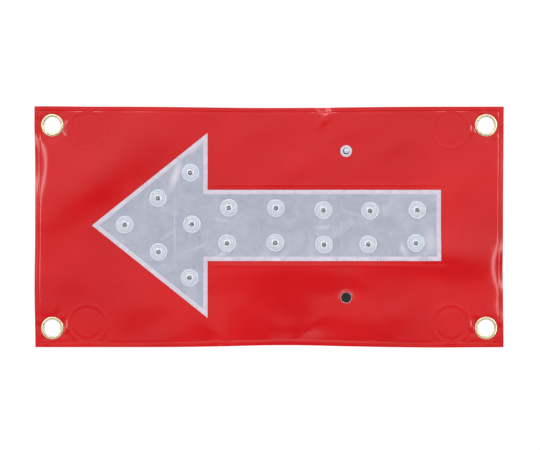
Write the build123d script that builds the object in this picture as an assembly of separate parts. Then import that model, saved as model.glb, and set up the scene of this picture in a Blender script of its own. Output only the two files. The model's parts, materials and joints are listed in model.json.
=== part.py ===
from build123d import *
import os
from math import sqrt

# A roll-up traffic arrow: a red vinyl sheet that hangs by its four eyelets, with a
# reflective arrow, sixteen lamps, four sewn-in magnets and a slim battery case.
# Frame: +X to the right and +Z up as the sheet hangs, and the shown face looks along -Y.
# y = 0 is the weld plane of the two vinyl sheets, and the origin is the centre of the
# eyelet pattern. All sizes are in millimetres.

# Vinyl sheets
SHEET_WIDTH = 600.0
SHEET_HEIGHT = 310.0
SHEET_CORNER_RADIUS = 1.5
FRONT_THICKNESS = 0.6
REAR_THICKNESS = 0.5
HEM = 12.0  # flat welded band round the edge
POCKET_DEPTH = 7.4  # from the weld plane to the inside of the rear sheet
POCKET_CORNER_RADIUS = 8.0

# Eyelets
EYELET_INSET_X = 22.0  # from the sheet's edge to the eyelet's axis
EYELET_INSET_Z = 25.0
EYELET_BORE = 21.0
EYELET_BARREL_WALL = 0.5
EYELET_FLANGE = 29.0
EYELET_FRONT_HEIGHT = 1.4
EYELET_WASHER_THICKNESS = 0.8
EYELET_ROLL = 25.4
EYELET_ROLL_HEIGHT = 0.8
EYELET_FRONT_ROUND = 0.63
EYELET_BACK_ROUND = 0.32
EYELET_CLEARANCE = 0.05

# Magnets, each in a boss of the rear sheet
MAGNET_DIAMETER = 35.0
MAGNET_THICKNESS = 5.0
MAGNET_STEP_X = 45.0  # from the eyelet's axis, towards the middle
MAGNET_STEP_Z = 5.0
MAGNET_WELD_RING = 49.0
MAGNET_CLEARANCE = 0.2
WELD_CLEARANCE = 4.5

# Reflective arrow, pointing to -X
ARROW_TIP_X = -227.0
ARROW_LENGTH = 447.0
ARROW_AXIS_Z = 1.5
HEAD_LENGTH = 148.0
HEAD_HEIGHT = 237.0
SHAFT_HEIGHT = 91.0
PANEL_THICKNESS = 0.5
BACKING_THICKNESS = 0.8
BACKING_MARGIN = 6.0
BACKING_CLEARANCE = 1.0

# Lamps: five columns of two in the shaft, and a chevron of five with one at its middle
LAMP_PITCH = 60.0
LAMP_COLUMNS = 5
LAMP_END_MARGIN = 31.0  # from the shaft's end to the last column
LAMP_ROW_OFFSET = 22.0
CHEVRON_TIP_MARGIN = 42.0
CHEVRON_STEP_X = 42.0
CHEVRON_STEP_Z = 34.0
CHEVRON_AXIS_Z = 2.0
# Each lamp sits this far off its nominal place, because the holes are punched by hand.
LAMP_SCATTER = (
    (0, -1), (0.6, 0.3), (0, 0.4), (2, 1), (1.2, -0.6), (-1, 0.5),
    (-0.8, 2), (-0.5, 1.5), (0.4, -1), (0.2, -1.7), (0.7, -0.7),
    (-3, 0.7), (-1.3, 1.2), (1.3, -1.1), (-2.2, -0.7), (-1.1, 0.8),
)  # fmt: skip

# Lens of a lamp
LENS_FLANGE = 23.0
LENS_FLANGE_THICKNESS = 1.2
LENS_CHAMFER = 0.3
LENS_STEP = 17.0
LENS_STEP_HEIGHT = 0.6
LENS_DOME = 12.0
LENS_DOME_RISE = 1.8
LENS_STEM = 12.0
LENS_HOLE_CLEARANCE = 0.3
LENS_ROOF = 1.4  # from the top of the bulb's bore to the dome's top
RETAINER_DIAMETER = 18.0
RETAINER_THICKNESS = 2.0
RETAINER_CLEARANCE = 0.05

# Bulb: a five millimetre lamp on its own small board
BULB_DIAMETER = 5.0
BULB_CLEARANCE = 0.3
BULB_TIP_CLEARANCE = 0.2
BULB_RIM = 5.8
BULB_RIM_THICKNESS = 0.6
LEG_DIAMETER = 0.5
LEG_PITCH = 2.54
LEG_CLEARANCE = 0.15
LEG_STAND = 0.5
LAMP_BOARD_DIAMETER = 14.0
LAMP_BOARD_THICKNESS = 1.0
LEAD_DIAMETER = 1.6
LEAD_CLEARANCE = 0.05
LEAD_START = 3.4  # from a lamp's axis to its lead's end
LEAD_BOW = 4.0  # how far a lead's middle lies off the straight line
LEAD_BEND_RADIUS = 2.4
LEAD_WALL_GAP = 1.2  # from the case's inner wall to a lead beside it
LEAD_SLEEVE = 0.2  # room round a lead where it passes a wall
LEAD_REACH = 8.0  # how far a lead runs past the cells, under its board
BOARD_LEAD_BEND_RADIUS = 2.0

# Battery case
CASE_X = 98.6
CASE_Z = 1.5
CASE_WALL = 1.6
CASE_END_ROOM = 46.6  # inside the case, from a bulkhead to the end wall
CASE_FLOOR = 1.4
CASE_GAP = 0.2  # from the arrow's backing to the case
CASE_SPLIT_Y = 10.0
CASE_CORNER_RADIUS = 4.0
FLANGE_WIDTH = 3.0
FLANGE_THICKNESS = 1.2
WINDOW_CLEARANCE = 0.3
GASKET_THICKNESS = 0.8
GASKET_WIDTH = 1.0
DECK_THICKNESS = 1.5
BULKHEAD_THICKNESS = 1.2
BULKHEAD_TOP_GAP = 2.0

# Cells, two in line in each of two columns
CELL_DIAMETER = 14.5
CELL_LENGTH = 50.5
CELL_NUB_DIAMETER = 5.4
CELL_NUB_LENGTH = 1.0
CELL_SIDE_GAP = 0.3
CELL_WALL_GAP = 1.95  # from a cell to the case's inner wall
CELL_FLOOR_GAP = 0.4
CELL_DOOR_GAP = 0.6
CELL_END_GAP = 0.05
CONTACT_THICKNESS = 0.5
CONTACT_WIDTH = 11.0
CONTACT_SEAT = 0.05
CELL_SPRING_LENGTH = 5.0
CELL_SPRING_RADIUS = 3.6
CELL_SPRING_WIRE = 0.8
CELL_SPRING_TURNS = 4

# Sliding door over the cells
DOOR_THICKNESS = 1.4
DOOR_CLEARANCE = 0.2
DOOR_TONGUE_WIDTH = 0.9
DOOR_TONGUE_THICKNESS = 0.8
DOOR_SIDE_RAIL = 2.8
DOOR_GROOVE_DEPTH = 1.1
DOOR_GROOVE_CLEARANCE = 0.15
DOOR_LAP = 1.0  # how far the door runs over the lower bulkhead
DOOR_RIB_COUNT = 6
DOOR_RIB_HEIGHT = 0.5
DOOR_RIB_PITCH = 2.4
DOOR_RIB_LENGTH = 18.0

# Case screws
SCREW_DIAMETER = 2.5
SCREW_HEAD_DIAMETER = 4.6
SCREW_HEAD_HEIGHT = 1.6
SCREW_RECESS = 0.1
SCREW_CLEARANCE = 0.1
SCREW_THREAD_CLEARANCE = 0.05
SCREW_TIP_GAP = 1.0
SCREW_SLOT_WIDTH = 0.7
SCREW_SLOT_DEPTH = 0.8
SCREW_SLOT_LENGTH = 3.6
PILLAR_DIAMETER = 6.8
PILLAR_INSET = 3.5  # from the case's inner walls to a pillar's axis

# Push button and its switch, near the case's lower end
BUTTON_INSET = 10.7  # from the case's end to the button's axis
BUTTON_DIAMETER = 12.5
BUTTON_PROUD = 1.7
BUTTON_CLEARANCE = 0.3
BUTTON_COLLAR = 15.5
BUTTON_COLLAR_THICKNESS = 1.0
BUTTON_COLLAR_GAP = 0.1
BUTTON_TRAVEL = 1.5
BUTTON_FILLET = 0.9
PLUNGER_DIAMETER = 3.0
PLUNGER_CLEARANCE = 0.3
PLUNGER_OVERLAP = 1.5  # how far the plunger reaches into the switch at rest
BUTTON_SPRING_LENGTH = 3.4
BUTTON_SPRING_RADIUS = 4.5
BUTTON_SPRING_WIRE = 0.5
BUTTON_SPRING_TURNS = 4
SWITCH_SIZE = 12.0
SWITCH_HEIGHT = 5.0
SWITCH_WELL_SPARE = 1.0  # past the plunger's tip at full travel

# Light sensor, near the case's upper end
SENSOR_INSET = 7.8
SENSOR_RING = 15.0
SENSOR_RING_HEIGHT = 1.1
SENSOR_RING_ROUND = 0.6
SENSOR_STEM = 10.6
SENSOR_WINDOW = 8.0
SENSOR_DOME_RISE = 1.6
SENSOR_PROUD = 0.3
SENSOR_CLEARANCE = 0.1
SENSOR_CELL_DIAMETER = 5.0
SENSOR_CELL_GAP = 0.3

# Circuit boards
BOARD_THICKNESS = 1.2
BOARD_SIDE_GAP = 1.0
BOARD_PILLAR_GAP = 0.4
BOARD_POST_DIAMETER = 3.0
BOARD_END_GAP = 1.5
POST_INSET = 6.0  # from a board's edge to its posts
SWITCH_ROOM = 18.0  # along the control board, kept clear of posts
SENSOR_ROOM = 15.0  # along the sensor board, kept clear of posts
CHIP_SIZE = (8.0, 1.5, 6.0)
CAPACITOR_DIAMETER = 5.0
CAPACITOR_HEIGHT = 7.0

HALF_WIDTH = SHEET_WIDTH / 2
HALF_HEIGHT = SHEET_HEIGHT / 2
EYELET_X = HALF_WIDTH - EYELET_INSET_X
EYELET_Z = HALF_HEIGHT - EYELET_INSET_Z
EYELETS = [(x, z) for x in (-EYELET_X, EYELET_X) for z in (-EYELET_Z, EYELET_Z)]
MAGNET_X = EYELET_X - MAGNET_STEP_X
MAGNET_Z = EYELET_Z - MAGNET_STEP_Z
MAGNETS = [(x, z) for x in (-MAGNET_X, MAGNET_X) for z in (-MAGNET_Z, MAGNET_Z)]
BARREL_DIAMETER = EYELET_BORE + 2 * EYELET_BARREL_WALL
PAD_X = MAGNET_X - MAGNET_WELD_RING / 2 - WELD_CLEARANCE
PAD_Z = MAGNET_Z - MAGNET_WELD_RING / 2 - WELD_CLEARANCE

ARROW_END_X = ARROW_TIP_X + ARROW_LENGTH
HEAD_BACK_X = ARROW_TIP_X + HEAD_LENGTH
PANEL_FRONT_Y = -FRONT_THICKNESS - PANEL_THICKNESS
LENS_HOLE = LENS_STEM + 2 * LENS_HOLE_CLEARANCE
LENS_TOP_Y = PANEL_FRONT_Y - LENS_FLANGE_THICKNESS - LENS_STEP_HEIGHT
LENS_PEAK_Y = LENS_TOP_Y - LENS_DOME_RISE
STEM_BACK_Y = BACKING_THICKNESS + RETAINER_THICKNESS
LENS_BORE = BULB_DIAMETER + 2 * BULB_CLEARANCE
BOARD_FRONT_Y = STEM_BACK_Y + BULB_RIM_THICKNESS
BOARD_BACK_Y = BOARD_FRONT_Y + LAMP_BOARD_THICKNESS
LEAD_Y = BOARD_BACK_Y + LEAD_DIAMETER / 2 + LEAD_CLEARANCE

CASE_FRONT_Y = BACKING_THICKNESS + CASE_GAP
FLOOR_BACK_Y = CASE_FRONT_Y + CASE_FLOOR
COVER_FRONT_Y = CASE_SPLIT_Y + GASKET_THICKNESS
CELL_Y = FLOOR_BACK_Y + CELL_FLOOR_GAP + CELL_DIAMETER / 2
CELL_STEP_X = CELL_DIAMETER / 2 + CELL_SIDE_GAP / 2
CONTACT_STACK = CONTACT_SEAT + CONTACT_THICKNESS
BAY_LENGTH = 2 * CELL_LENGTH + 3 * CELL_END_GAP + CELL_SPRING_LENGTH + 2 * CONTACT_STACK
CASE_INNER_WIDTH = 2 * (CELL_STEP_X + CELL_DIAMETER / 2 + CELL_WALL_GAP)
CASE_WIDTH = CASE_INNER_WIDTH + 2 * CASE_WALL
CASE_LENGTH = BAY_LENGTH + 2 * (BULKHEAD_THICKNESS + CASE_END_ROOM + CASE_WALL)
CASE_LOW_Z = CASE_Z - CASE_LENGTH / 2
CASE_HIGH_Z = CASE_Z + CASE_LENGTH / 2
BAY_LOW_Z = CASE_Z - BAY_LENGTH / 2
BAY_HIGH_Z = CASE_Z + BAY_LENGTH / 2
LOW_ROOM_Z = BAY_LOW_Z - BULKHEAD_THICKNESS  # where the control board's room begins
HIGH_ROOM_Z = BAY_HIGH_Z + BULKHEAD_THICKNESS
DOOR_FRONT_Y = CELL_Y + CELL_DIAMETER / 2 + CELL_DOOR_GAP
DOOR_BACK_Y = DOOR_FRONT_Y + DOOR_THICKNESS
LOW_DECK_Y = DOOR_FRONT_Y - DOOR_CLEARANCE
CASE_BACK_Y = DOOR_BACK_Y + DOOR_CLEARANCE / 2
DOOR_LOW_Z = LOW_ROOM_Z - DOOR_LAP
DOOR_HIGH_Z = BAY_HIGH_Z
DOOR_WIDTH = CASE_WIDTH - 2 * DOOR_SIDE_RAIL - 2 * DOOR_CLEARANCE
TONGUE_FRONT_Y = (DOOR_FRONT_Y + DOOR_BACK_Y - DOOR_TONGUE_THICKNESS) / 2
TONGUE_BACK_Y = TONGUE_FRONT_Y + DOOR_TONGUE_THICKNESS

BUTTON_X, BUTTON_Z = CASE_X, CASE_LOW_Z + BUTTON_INSET
SENSOR_X, SENSOR_Z = CASE_X, CASE_HIGH_Z - SENSOR_INSET
BUTTON_HOLE = BUTTON_DIAMETER + 2 * BUTTON_CLEARANCE
SENSOR_HOLE = SENSOR_STEM + 2 * SENSOR_CLEARANCE
COLLAR_FRONT_Y = FLOOR_BACK_Y + BUTTON_COLLAR_GAP
COLLAR_BACK_Y = COLLAR_FRONT_Y + BUTTON_COLLAR_THICKNESS
SWITCH_FRONT_Y = COLLAR_BACK_Y + BUTTON_SPRING_LENGTH
SWITCH_WELL = PLUNGER_OVERLAP + BUTTON_TRAVEL + SWITCH_WELL_SPARE
CONTROL_BOARD_Y = SWITCH_FRONT_Y + SWITCH_HEIGHT
SENSOR_BOARD_Y = LEAD_Y + LEAD_DIAMETER / 2 + LEAD_CLEARANCE
CONTROL_LOW_Z = CASE_LOW_Z + CASE_WALL + BOARD_END_GAP
CONTROL_HIGH_Z = LOW_ROOM_Z - BOARD_END_GAP
SENSOR_LOW_Z = HIGH_ROOM_Z + BOARD_END_GAP
SENSOR_HIGH_Z = CASE_HIGH_Z - CASE_WALL - BOARD_END_GAP
CONTROL_POSTS_Z = (CONTROL_LOW_Z + SWITCH_ROOM, CONTROL_HIGH_Z - POST_INSET)
SENSOR_POSTS_Z = (SENSOR_LOW_Z + POST_INSET, SENSOR_HIGH_Z - SENSOR_ROOM)
# The lamps beside the case whose leads enter it, by their place in the list, and the
# side of the case that each is on.
CASE_LAMPS = ((8, -1), (13, -1), (9, 1), (14, 1))
PILLAR_X = CASE_INNER_WIDTH / 2 - PILLAR_INSET
PILLARS = [
    (CASE_X + side * PILLAR_X, z)
    for side in (-1, 1)
    for z in (CASE_LOW_Z + CASE_WALL + PILLAR_INSET, CASE_HIGH_Z - CASE_WALL - PILLAR_INSET)
]


def disc(x, z, front, back, diameter):
    """A round bar along Y, from y = front to y = back."""
    turn = Rot(90, 0, 0) * Cylinder(diameter / 2, back - front)
    return Pos(x, (front + back) / 2, z) * turn


def block(x0, x1, y0, y1, z0, z1):
    """A box between two corners."""
    centre = ((x0 + x1) / 2, (y0 + y1) / 2, (z0 + z1) / 2)
    return Pos(*centre) * Box(x1 - x0, y1 - y0, z1 - z0)


def plate(outline, front, back):
    """A flat plate of an outline drawn in x and z, from y = front to y = back."""
    return extrude(Plane.XZ.offset(-front) * outline, amount=back - front, dir=(0, 1, 0))


def turned(x, z, profile):
    """A profile drawn as radius and y, turned about the Y line through x and z."""
    return Pos(x, 0, z) * revolve(make_face(profile), Axis.Y)


def cap_arc(radius, base, rise):
    """The arc of a shallow dome from its rim at y = base to its top, rise nearer the front."""
    sphere = (radius**2 + rise**2) / (2 * rise)
    centre = base - rise + sphere
    middle = radius / 2
    return ThreePointArc(
        (radius, base), (middle, centre - sqrt(sphere**2 - middle**2)), (0, base - rise)
    )


def save(name, *solids):
    """Writes one node from its separate solids."""
    bodies = [body for solid in solids for body in solid.solids()]
    shape = bodies[0] if len(bodies) == 1 else Compound(children=bodies)
    export_step(shape, f"parts/{name}.step")


def lamp_places():
    """The lamps' axes: the chevron from its upper end down, with the middle lamp fourth,
    then the shaft's upper row and its lower row, each from the head outwards."""
    tip = ARROW_TIP_X + CHEVRON_TIP_MARGIN
    steps = (2, 1, 0, -1, -2)
    chevron = [(tip + abs(i) * CHEVRON_STEP_X, CHEVRON_AXIS_Z + i * CHEVRON_STEP_Z) for i in steps]
    middle = (tip + 2 * CHEVRON_STEP_X, CHEVRON_AXIS_Z)
    head = chevron[:3] + [middle] + chevron[3:]
    last = ARROW_END_X - LAMP_END_MARGIN
    columns = [last - (LAMP_COLUMNS - 1 - i) * LAMP_PITCH for i in range(LAMP_COLUMNS)]
    rows = [(x, z) for z in (LAMP_ROW_OFFSET, -LAMP_ROW_OFFSET) for x in columns]
    return [(x + dx, z + dz) for (x, z), (dx, dz) in zip(head + rows, LAMP_SCATTER)]


LAMPS = lamp_places()


def sheet_outline():
    return RectangleRounded(SHEET_WIDTH, SHEET_HEIGHT, SHEET_CORNER_RADIUS)


def arrow_outline():
    """The arrow, with its tip towards -X."""
    head, shaft = HEAD_HEIGHT / 2, SHAFT_HEIGHT / 2
    points = [
        (ARROW_TIP_X, 0),
        (HEAD_BACK_X, head),
        (HEAD_BACK_X, shaft),
        (ARROW_END_X, shaft),
        (ARROW_END_X, -shaft),
        (HEAD_BACK_X, -shaft),
        (HEAD_BACK_X, -head),
    ]
    return Pos(0, ARROW_AXIS_Z) * Polygon(*points, align=None)


def pocket_outline(growth):
    """The pocket between the sheets: all but the hem and the four corner pads."""
    wide = Rectangle(SHEET_WIDTH - 2 * HEM, 2 * PAD_Z)
    tall = Rectangle(2 * PAD_X, SHEET_HEIGHT - 2 * HEM)
    cross = wide + tall
    rounded = fillet(cross.vertices(), POCKET_CORNER_RADIUS)
    return offset(rounded, amount=growth) if growth else rounded


def case_outline(growth):
    size = (CASE_WIDTH + 2 * growth, CASE_LENGTH + 2 * growth)
    return Pos(CASE_X, CASE_Z) * RectangleRounded(*size, CASE_CORNER_RADIUS + growth)


def make_front_sheet():
    sheet = plate(sheet_outline(), -FRONT_THICKNESS, 0)
    holes = [disc(x, z, -1, 1, BARREL_DIAMETER + 2 * EYELET_CLEARANCE) for x, z in EYELETS]
    holes += [disc(x, z, -1, 1, LENS_HOLE) for x, z in LAMPS]
    holes.append(disc(BUTTON_X, BUTTON_Z, -1, 1, BUTTON_HOLE))
    holes.append(disc(SENSOR_X, SENSOR_Z, -1, 1, SENSOR_HOLE))
    return sheet - holes


def make_rear_sheet():
    """Flat at the hem and the corner pads, and raised over the pocket and the magnets."""
    roof = POCKET_DEPTH + REAR_THICKNESS
    magnet_room = MAGNET_THICKNESS + MAGNET_CLEARANCE / 2
    hollow = MAGNET_DIAMETER + 2 * MAGNET_CLEARANCE
    boss = hollow + 2 * REAR_THICKNESS
    sheet = plate(sheet_outline(), 0, REAR_THICKNESS) + plate(pocket_outline(REAR_THICKNESS), 0, roof)
    for x, z in MAGNETS:
        sheet += disc(x, z, 0, magnet_room + REAR_THICKNESS, boss)
    sheet -= plate(pocket_outline(0), 0, POCKET_DEPTH)
    for x, z in MAGNETS:
        sheet -= disc(x, z, 0, magnet_room, hollow)
    for x, z in EYELETS:
        sheet -= disc(x, z, 0, REAR_THICKNESS, BARREL_DIAMETER + 2 * EYELET_CLEARANCE)
    return sheet - plate(case_outline(WINDOW_CLEARANCE), 0, roof)


def make_arrow_panel():
    panel = plate(arrow_outline(), PANEL_FRONT_Y, -FRONT_THICKNESS)
    return panel - [disc(x, z, PANEL_FRONT_Y, 0, LENS_HOLE) for x, z in LAMPS]


def make_backing():
    """A stiffer sheet behind the arrow that carries the lamps, inside the pocket."""
    grown = offset(arrow_outline(), amount=BACKING_MARGIN)
    outline = grown & pocket_outline(-BACKING_CLEARANCE)
    backing = plate(outline, 0, BACKING_THICKNESS)
    return backing - [disc(x, z, 0, BACKING_THICKNESS, LENS_HOLE) for x, z in LAMPS]


def make_eyelet(x, z):
    """A barrel with a rounded front flange, rolled over the washer behind."""
    bore, flange, roll = EYELET_BORE / 2, EYELET_FLANGE / 2, EYELET_ROLL / 2
    barrel = BARREL_DIAMETER / 2
    front = -FRONT_THICKNESS - EYELET_FRONT_HEIGHT
    seat = REAR_THICKNESS + EYELET_WASHER_THICKNESS
    back = seat + EYELET_ROLL_HEIGHT
    outline = Polyline(
        (bore, front), (flange, front), (flange, -FRONT_THICKNESS), (barrel, -FRONT_THICKNESS),
        (barrel, seat), (roll, seat), (roll, back), (bore, back), (bore, front),
    )  # fmt: skip
    profile = make_face(outline)
    front_corners = profile.vertices().filter_by(lambda v: abs(v.Y - front) < 0.01)
    profile = fillet(front_corners, EYELET_FRONT_ROUND)
    back_corners = profile.vertices().filter_by(lambda v: abs(v.Y - back) < 0.01)
    profile = fillet(back_corners, EYELET_BACK_ROUND)
    return Pos(x, 0, z) * revolve(profile, Axis.Y)


def make_eyelet_washer(x, z):
    seat = REAR_THICKNESS + EYELET_WASHER_THICKNESS
    ring = disc(x, z, REAR_THICKNESS, seat, EYELET_FLANGE)
    return ring - disc(x, z, REAR_THICKNESS, seat, BARREL_DIAMETER + 2 * EYELET_CLEARANCE)


def make_lens(x, z):
    """A clear stepped button lens whose stem passes through every layer."""
    flange, step = LENS_FLANGE / 2, LENS_STEP / 2
    dome, stem, bore = LENS_DOME / 2, LENS_STEM / 2, LENS_BORE / 2
    flange_top = PANEL_FRONT_Y - LENS_FLANGE_THICKNESS
    bore_top = LENS_PEAK_Y + LENS_ROOF
    walls = Polyline(
        (0, LENS_PEAK_Y), (0, bore_top), (bore, bore_top), (bore, STEM_BACK_Y), (stem, STEM_BACK_Y),
        (stem, PANEL_FRONT_Y), (flange, PANEL_FRONT_Y), (flange, flange_top + LENS_CHAMFER),
        (flange - LENS_CHAMFER, flange_top), (step, flange_top), (step, LENS_TOP_Y), (dome, LENS_TOP_Y),
    )  # fmt: skip
    return turned(x, z, walls.edges() + cap_arc(dome, LENS_TOP_Y, LENS_DOME_RISE).edges())


def make_retainer(x, z):
    ring = disc(x, z, BACKING_THICKNESS, STEM_BACK_Y, RETAINER_DIAMETER)
    return ring - disc(x, z, BACKING_THICKNESS, STEM_BACK_Y, LENS_STEM + 2 * RETAINER_CLEARANCE)


def leg_places(x):
    return [x - LEG_PITCH / 2, x + LEG_PITCH / 2]


def make_bulb(x, z):
    """A round-nosed lamp whose rim sits between the lens's stem and the board."""
    tip = LENS_PEAK_Y + LENS_ROOF + BULB_TIP_CLEARANCE
    nose = tip + BULB_DIAMETER / 2
    bulb = Pos(x, nose, z) * Sphere(BULB_DIAMETER / 2) + disc(x, z, nose, STEM_BACK_Y, BULB_DIAMETER)
    bulb += disc(x, z, STEM_BACK_Y, BOARD_FRONT_Y, BULB_RIM)
    for leg in leg_places(x):
        bulb += disc(leg, z, BOARD_FRONT_Y, BOARD_BACK_Y + LEG_STAND, LEG_DIAMETER)
    return bulb


def make_lamp_board(x, z):
    board = disc(x, z, BOARD_FRONT_Y, BOARD_BACK_Y, LAMP_BOARD_DIAMETER)
    hole = LEG_DIAMETER + 2 * LEG_CLEARANCE
    return board - [disc(leg, z, BOARD_FRONT_Y, BOARD_BACK_Y, hole) for leg in leg_places(x)]


def make_lead(points, radius):
    """A two-core lead of straight runs joined by arcs."""
    path = FilletPolyline(*points, radius=radius)
    return sweep(Plane(origin=path @ 0, z_dir=path % 0) * Circle(LEAD_DIAMETER / 2), path=path)


def lamp_lead(start, end, side):
    """The lead between two lamp boards, which bows a little to one side."""
    (x0, z0), (x1, z1) = start, end
    length = sqrt((x1 - x0) ** 2 + (z1 - z0) ** 2)
    ux, uz = (x1 - x0) / length, (z1 - z0) / length
    a = (x0 + LEAD_START * ux, LEAD_Y, z0 + LEAD_START * uz)
    b = (x1 - LEAD_START * ux, LEAD_Y, z1 - LEAD_START * uz)
    bow = side * LEAD_BOW
    mid = ((x0 + x1) / 2 - bow * uz, LEAD_Y, (z0 + z1) / 2 + bow * ux)
    return make_lead([a, mid, b], length)


def make_lamp_leads():
    """Eleven leads from lamp to lamp: round the chevron, across the head and along the rows."""
    pairs = [(0, 1), (1, 2), (2, 4), (4, 5), (3, 6), (0, 6), (5, 11)]
    pairs += [(6, 7), (7, 8), (9, 10), (11, 12), (12, 13), (14, 15)]
    sides = [1 if i % 2 else -1 for i in range(len(pairs))]
    return [lamp_lead(LAMPS[a], LAMPS[b], side) for (a, b), side in zip(pairs, sides)]


def make_case_leads():
    """Four leads from the lamps beside the case, in through its wall and along inside it."""
    leads = []
    for lamp, side in CASE_LAMPS:
        x, z = LAMPS[lamp]
        inner = CASE_X + side * (CASE_INNER_WIDTH / 2 - LEAD_WALL_GAP - LEAD_DIAMETER / 2)
        start = (x - side * LEAD_START, LEAD_Y, z)
        if z > CASE_Z:
            route = [start, (inner, LEAD_Y, z), (inner, LEAD_Y, HIGH_ROOM_Z + LEAD_REACH)]
        else:
            foot = LOW_ROOM_Z - LEAD_REACH
            route = [start, (inner, LEAD_Y, z), (inner, LEAD_Y, foot), (inner, CONTROL_BOARD_Y, foot)]
        leads.append(make_lead(route, LEAD_BEND_RADIUS))
    return leads


def make_board_lead():
    """The lead between the two boards, along the floor between the cells."""
    y = FLOOR_BACK_Y + LEAD_DIAMETER / 2 + LEAD_CLEARANCE
    low, high = LOW_ROOM_Z - LEAD_REACH, HIGH_ROOM_Z + LEAD_REACH
    ends = [(CONTROL_BOARD_Y, low), (y, low), (y, high), (SENSOR_BOARD_Y, high)]
    return make_lead([(CASE_X, depth, z) for depth, z in ends], BOARD_LEAD_BEND_RADIUS)


def bulkheads():
    """The two walls at the ends of the cells, with a notch for the link between the boards."""
    half = CASE_INNER_WIDTH / 2 - LEAD_WALL_GAP - LEAD_DIAMETER - LEAD_SLEEVE
    top = DOOR_FRONT_Y - BULKHEAD_TOP_GAP
    walls = []
    for low in (LOW_ROOM_Z, BAY_HIGH_Z):
        high = low + BULKHEAD_THICKNESS
        wall = block(CASE_X - half, CASE_X + half, FLOOR_BACK_Y, top, low, high)
        notch = block(
            CASE_X - LEAD_DIAMETER, CASE_X + LEAD_DIAMETER, FLOOR_BACK_Y,
            FLOOR_BACK_Y + 2 * LEAD_DIAMETER, low, high,
        )  # fmt: skip
        walls.append(wall - notch)
    return walls


def board_posts(heights, board_front):
    """Four posts from the floor to a board, two at each of its heights."""
    half = CASE_INNER_WIDTH / 2 - BOARD_SIDE_GAP - POST_INSET
    places = [(CASE_X + side * half, z) for side in (-1, 1) for z in heights]
    return [disc(x, z, FLOOR_BACK_Y, board_front, BOARD_POST_DIAMETER) for x, z in places]


def make_case_tray():
    """The front half: a floor that rests on the sheet at both ends, and a flange behind it."""
    tray = plate(case_outline(0), 0, CASE_SPLIT_Y)
    tray += plate(case_outline(FLANGE_WIDTH), POCKET_DEPTH - FLANGE_THICKNESS, POCKET_DEPTH)
    tray -= plate(case_outline(-CASE_WALL), FLOOR_BACK_Y, CASE_SPLIT_Y)
    span = SHAFT_HEIGHT / 2 + BACKING_MARGIN + BACKING_CLEARANCE
    tray -= block(
        CASE_X - CASE_WIDTH, CASE_X + CASE_WIDTH, 0, CASE_FRONT_Y,
        ARROW_AXIS_Z - span, ARROW_AXIS_Z + span,
    )  # fmt: skip
    inside = plate(case_outline(0), 0, CASE_SPLIT_Y)
    tray += [disc(x, z, FLOOR_BACK_Y, CASE_SPLIT_Y, PILLAR_DIAMETER) & inside for x, z in PILLARS]
    tray += bulkheads() + board_posts(CONTROL_POSTS_Z, CONTROL_BOARD_Y)
    tray += board_posts(SENSOR_POSTS_Z, SENSOR_BOARD_Y)
    bore = SCREW_DIAMETER + 2 * SCREW_THREAD_CLEARANCE
    tray -= [disc(x, z, FLOOR_BACK_Y + SCREW_TIP_GAP, CASE_SPLIT_Y, bore) for x, z in PILLARS]
    tray -= disc(BUTTON_X, BUTTON_Z, 0, FLOOR_BACK_Y, BUTTON_HOLE)
    tray -= disc(SENSOR_X, SENSOR_Z, 0, FLOOR_BACK_Y, SENSOR_HOLE)
    for lamp, side in CASE_LAMPS:
        z = LAMPS[lamp][1]
        wall = CASE_X + side * (CASE_WIDTH - CASE_WALL) / 2
        sleeve = Cylinder(LEAD_DIAMETER / 2 + LEAD_SLEEVE, 2 * CASE_WALL)
        tray -= Pos(wall, LEAD_Y, z) * Rot(0, 90, 0) * sleeve
    return tray


def make_gasket():
    """A flat seal between the two halves, round the rim."""
    outer = case_outline(-(CASE_WALL - GASKET_WIDTH) / 2)
    inner = case_outline(-(CASE_WALL + GASKET_WIDTH) / 2)
    return plate(outer, CASE_SPLIT_Y, COVER_FRONT_Y) - plate(inner, CASE_SPLIT_Y, COVER_FRONT_Y)


def make_case_cover():
    """The rear half: a deck over each end, and grooved rails for the door between them."""
    cover = plate(case_outline(0), COVER_FRONT_Y, CASE_BACK_Y)
    cover -= plate(case_outline(-CASE_WALL), COVER_FRONT_Y, LOW_DECK_Y - DECK_THICKNESS)
    half = DOOR_WIDTH / 2 + DOOR_CLEARANCE
    low = CASE_LOW_Z - CASE_WALL
    cover -= block(CASE_X - half, CASE_X + half, LOW_DECK_Y, CASE_BACK_Y, low, DOOR_HIGH_Z)
    cover -= block(CASE_X - half, CASE_X + half, COVER_FRONT_Y, LOW_DECK_Y, LOW_ROOM_Z, DOOR_HIGH_Z)
    groove = half + DOOR_GROOVE_DEPTH
    cover -= block(
        CASE_X - groove, CASE_X + groove, TONGUE_FRONT_Y - DOOR_GROOVE_CLEARANCE,
        TONGUE_BACK_Y + DOOR_GROOVE_CLEARANCE, low, DOOR_HIGH_Z,
    )  # fmt: skip
    high_inner = plate(case_outline(-CASE_WALL), LOW_DECK_Y - DECK_THICKNESS, CASE_BACK_Y - DECK_THICKNESS)
    cover -= high_inner & block(
        CASE_X - CASE_WIDTH, CASE_X + CASE_WIDTH, COVER_FRONT_Y, CASE_BACK_Y,
        DOOR_HIGH_Z + CASE_WALL, CASE_HIGH_Z,
    )  # fmt: skip
    for x, z in PILLARS:
        deck = LOW_DECK_Y if z < CASE_Z else CASE_BACK_Y
        pillar = disc(x, z, COVER_FRONT_Y, deck, PILLAR_DIAMETER) & plate(case_outline(0), 0, deck)
        cover += pillar
        head_seat = deck - SCREW_HEAD_HEIGHT - SCREW_RECESS
        cover -= disc(x, z, COVER_FRONT_Y, deck, SCREW_DIAMETER + 2 * SCREW_CLEARANCE)
        cover -= disc(x, z, head_seat, CASE_BACK_Y, SCREW_HEAD_DIAMETER + 2 * SCREW_CLEARANCE)
    return cover


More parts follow.
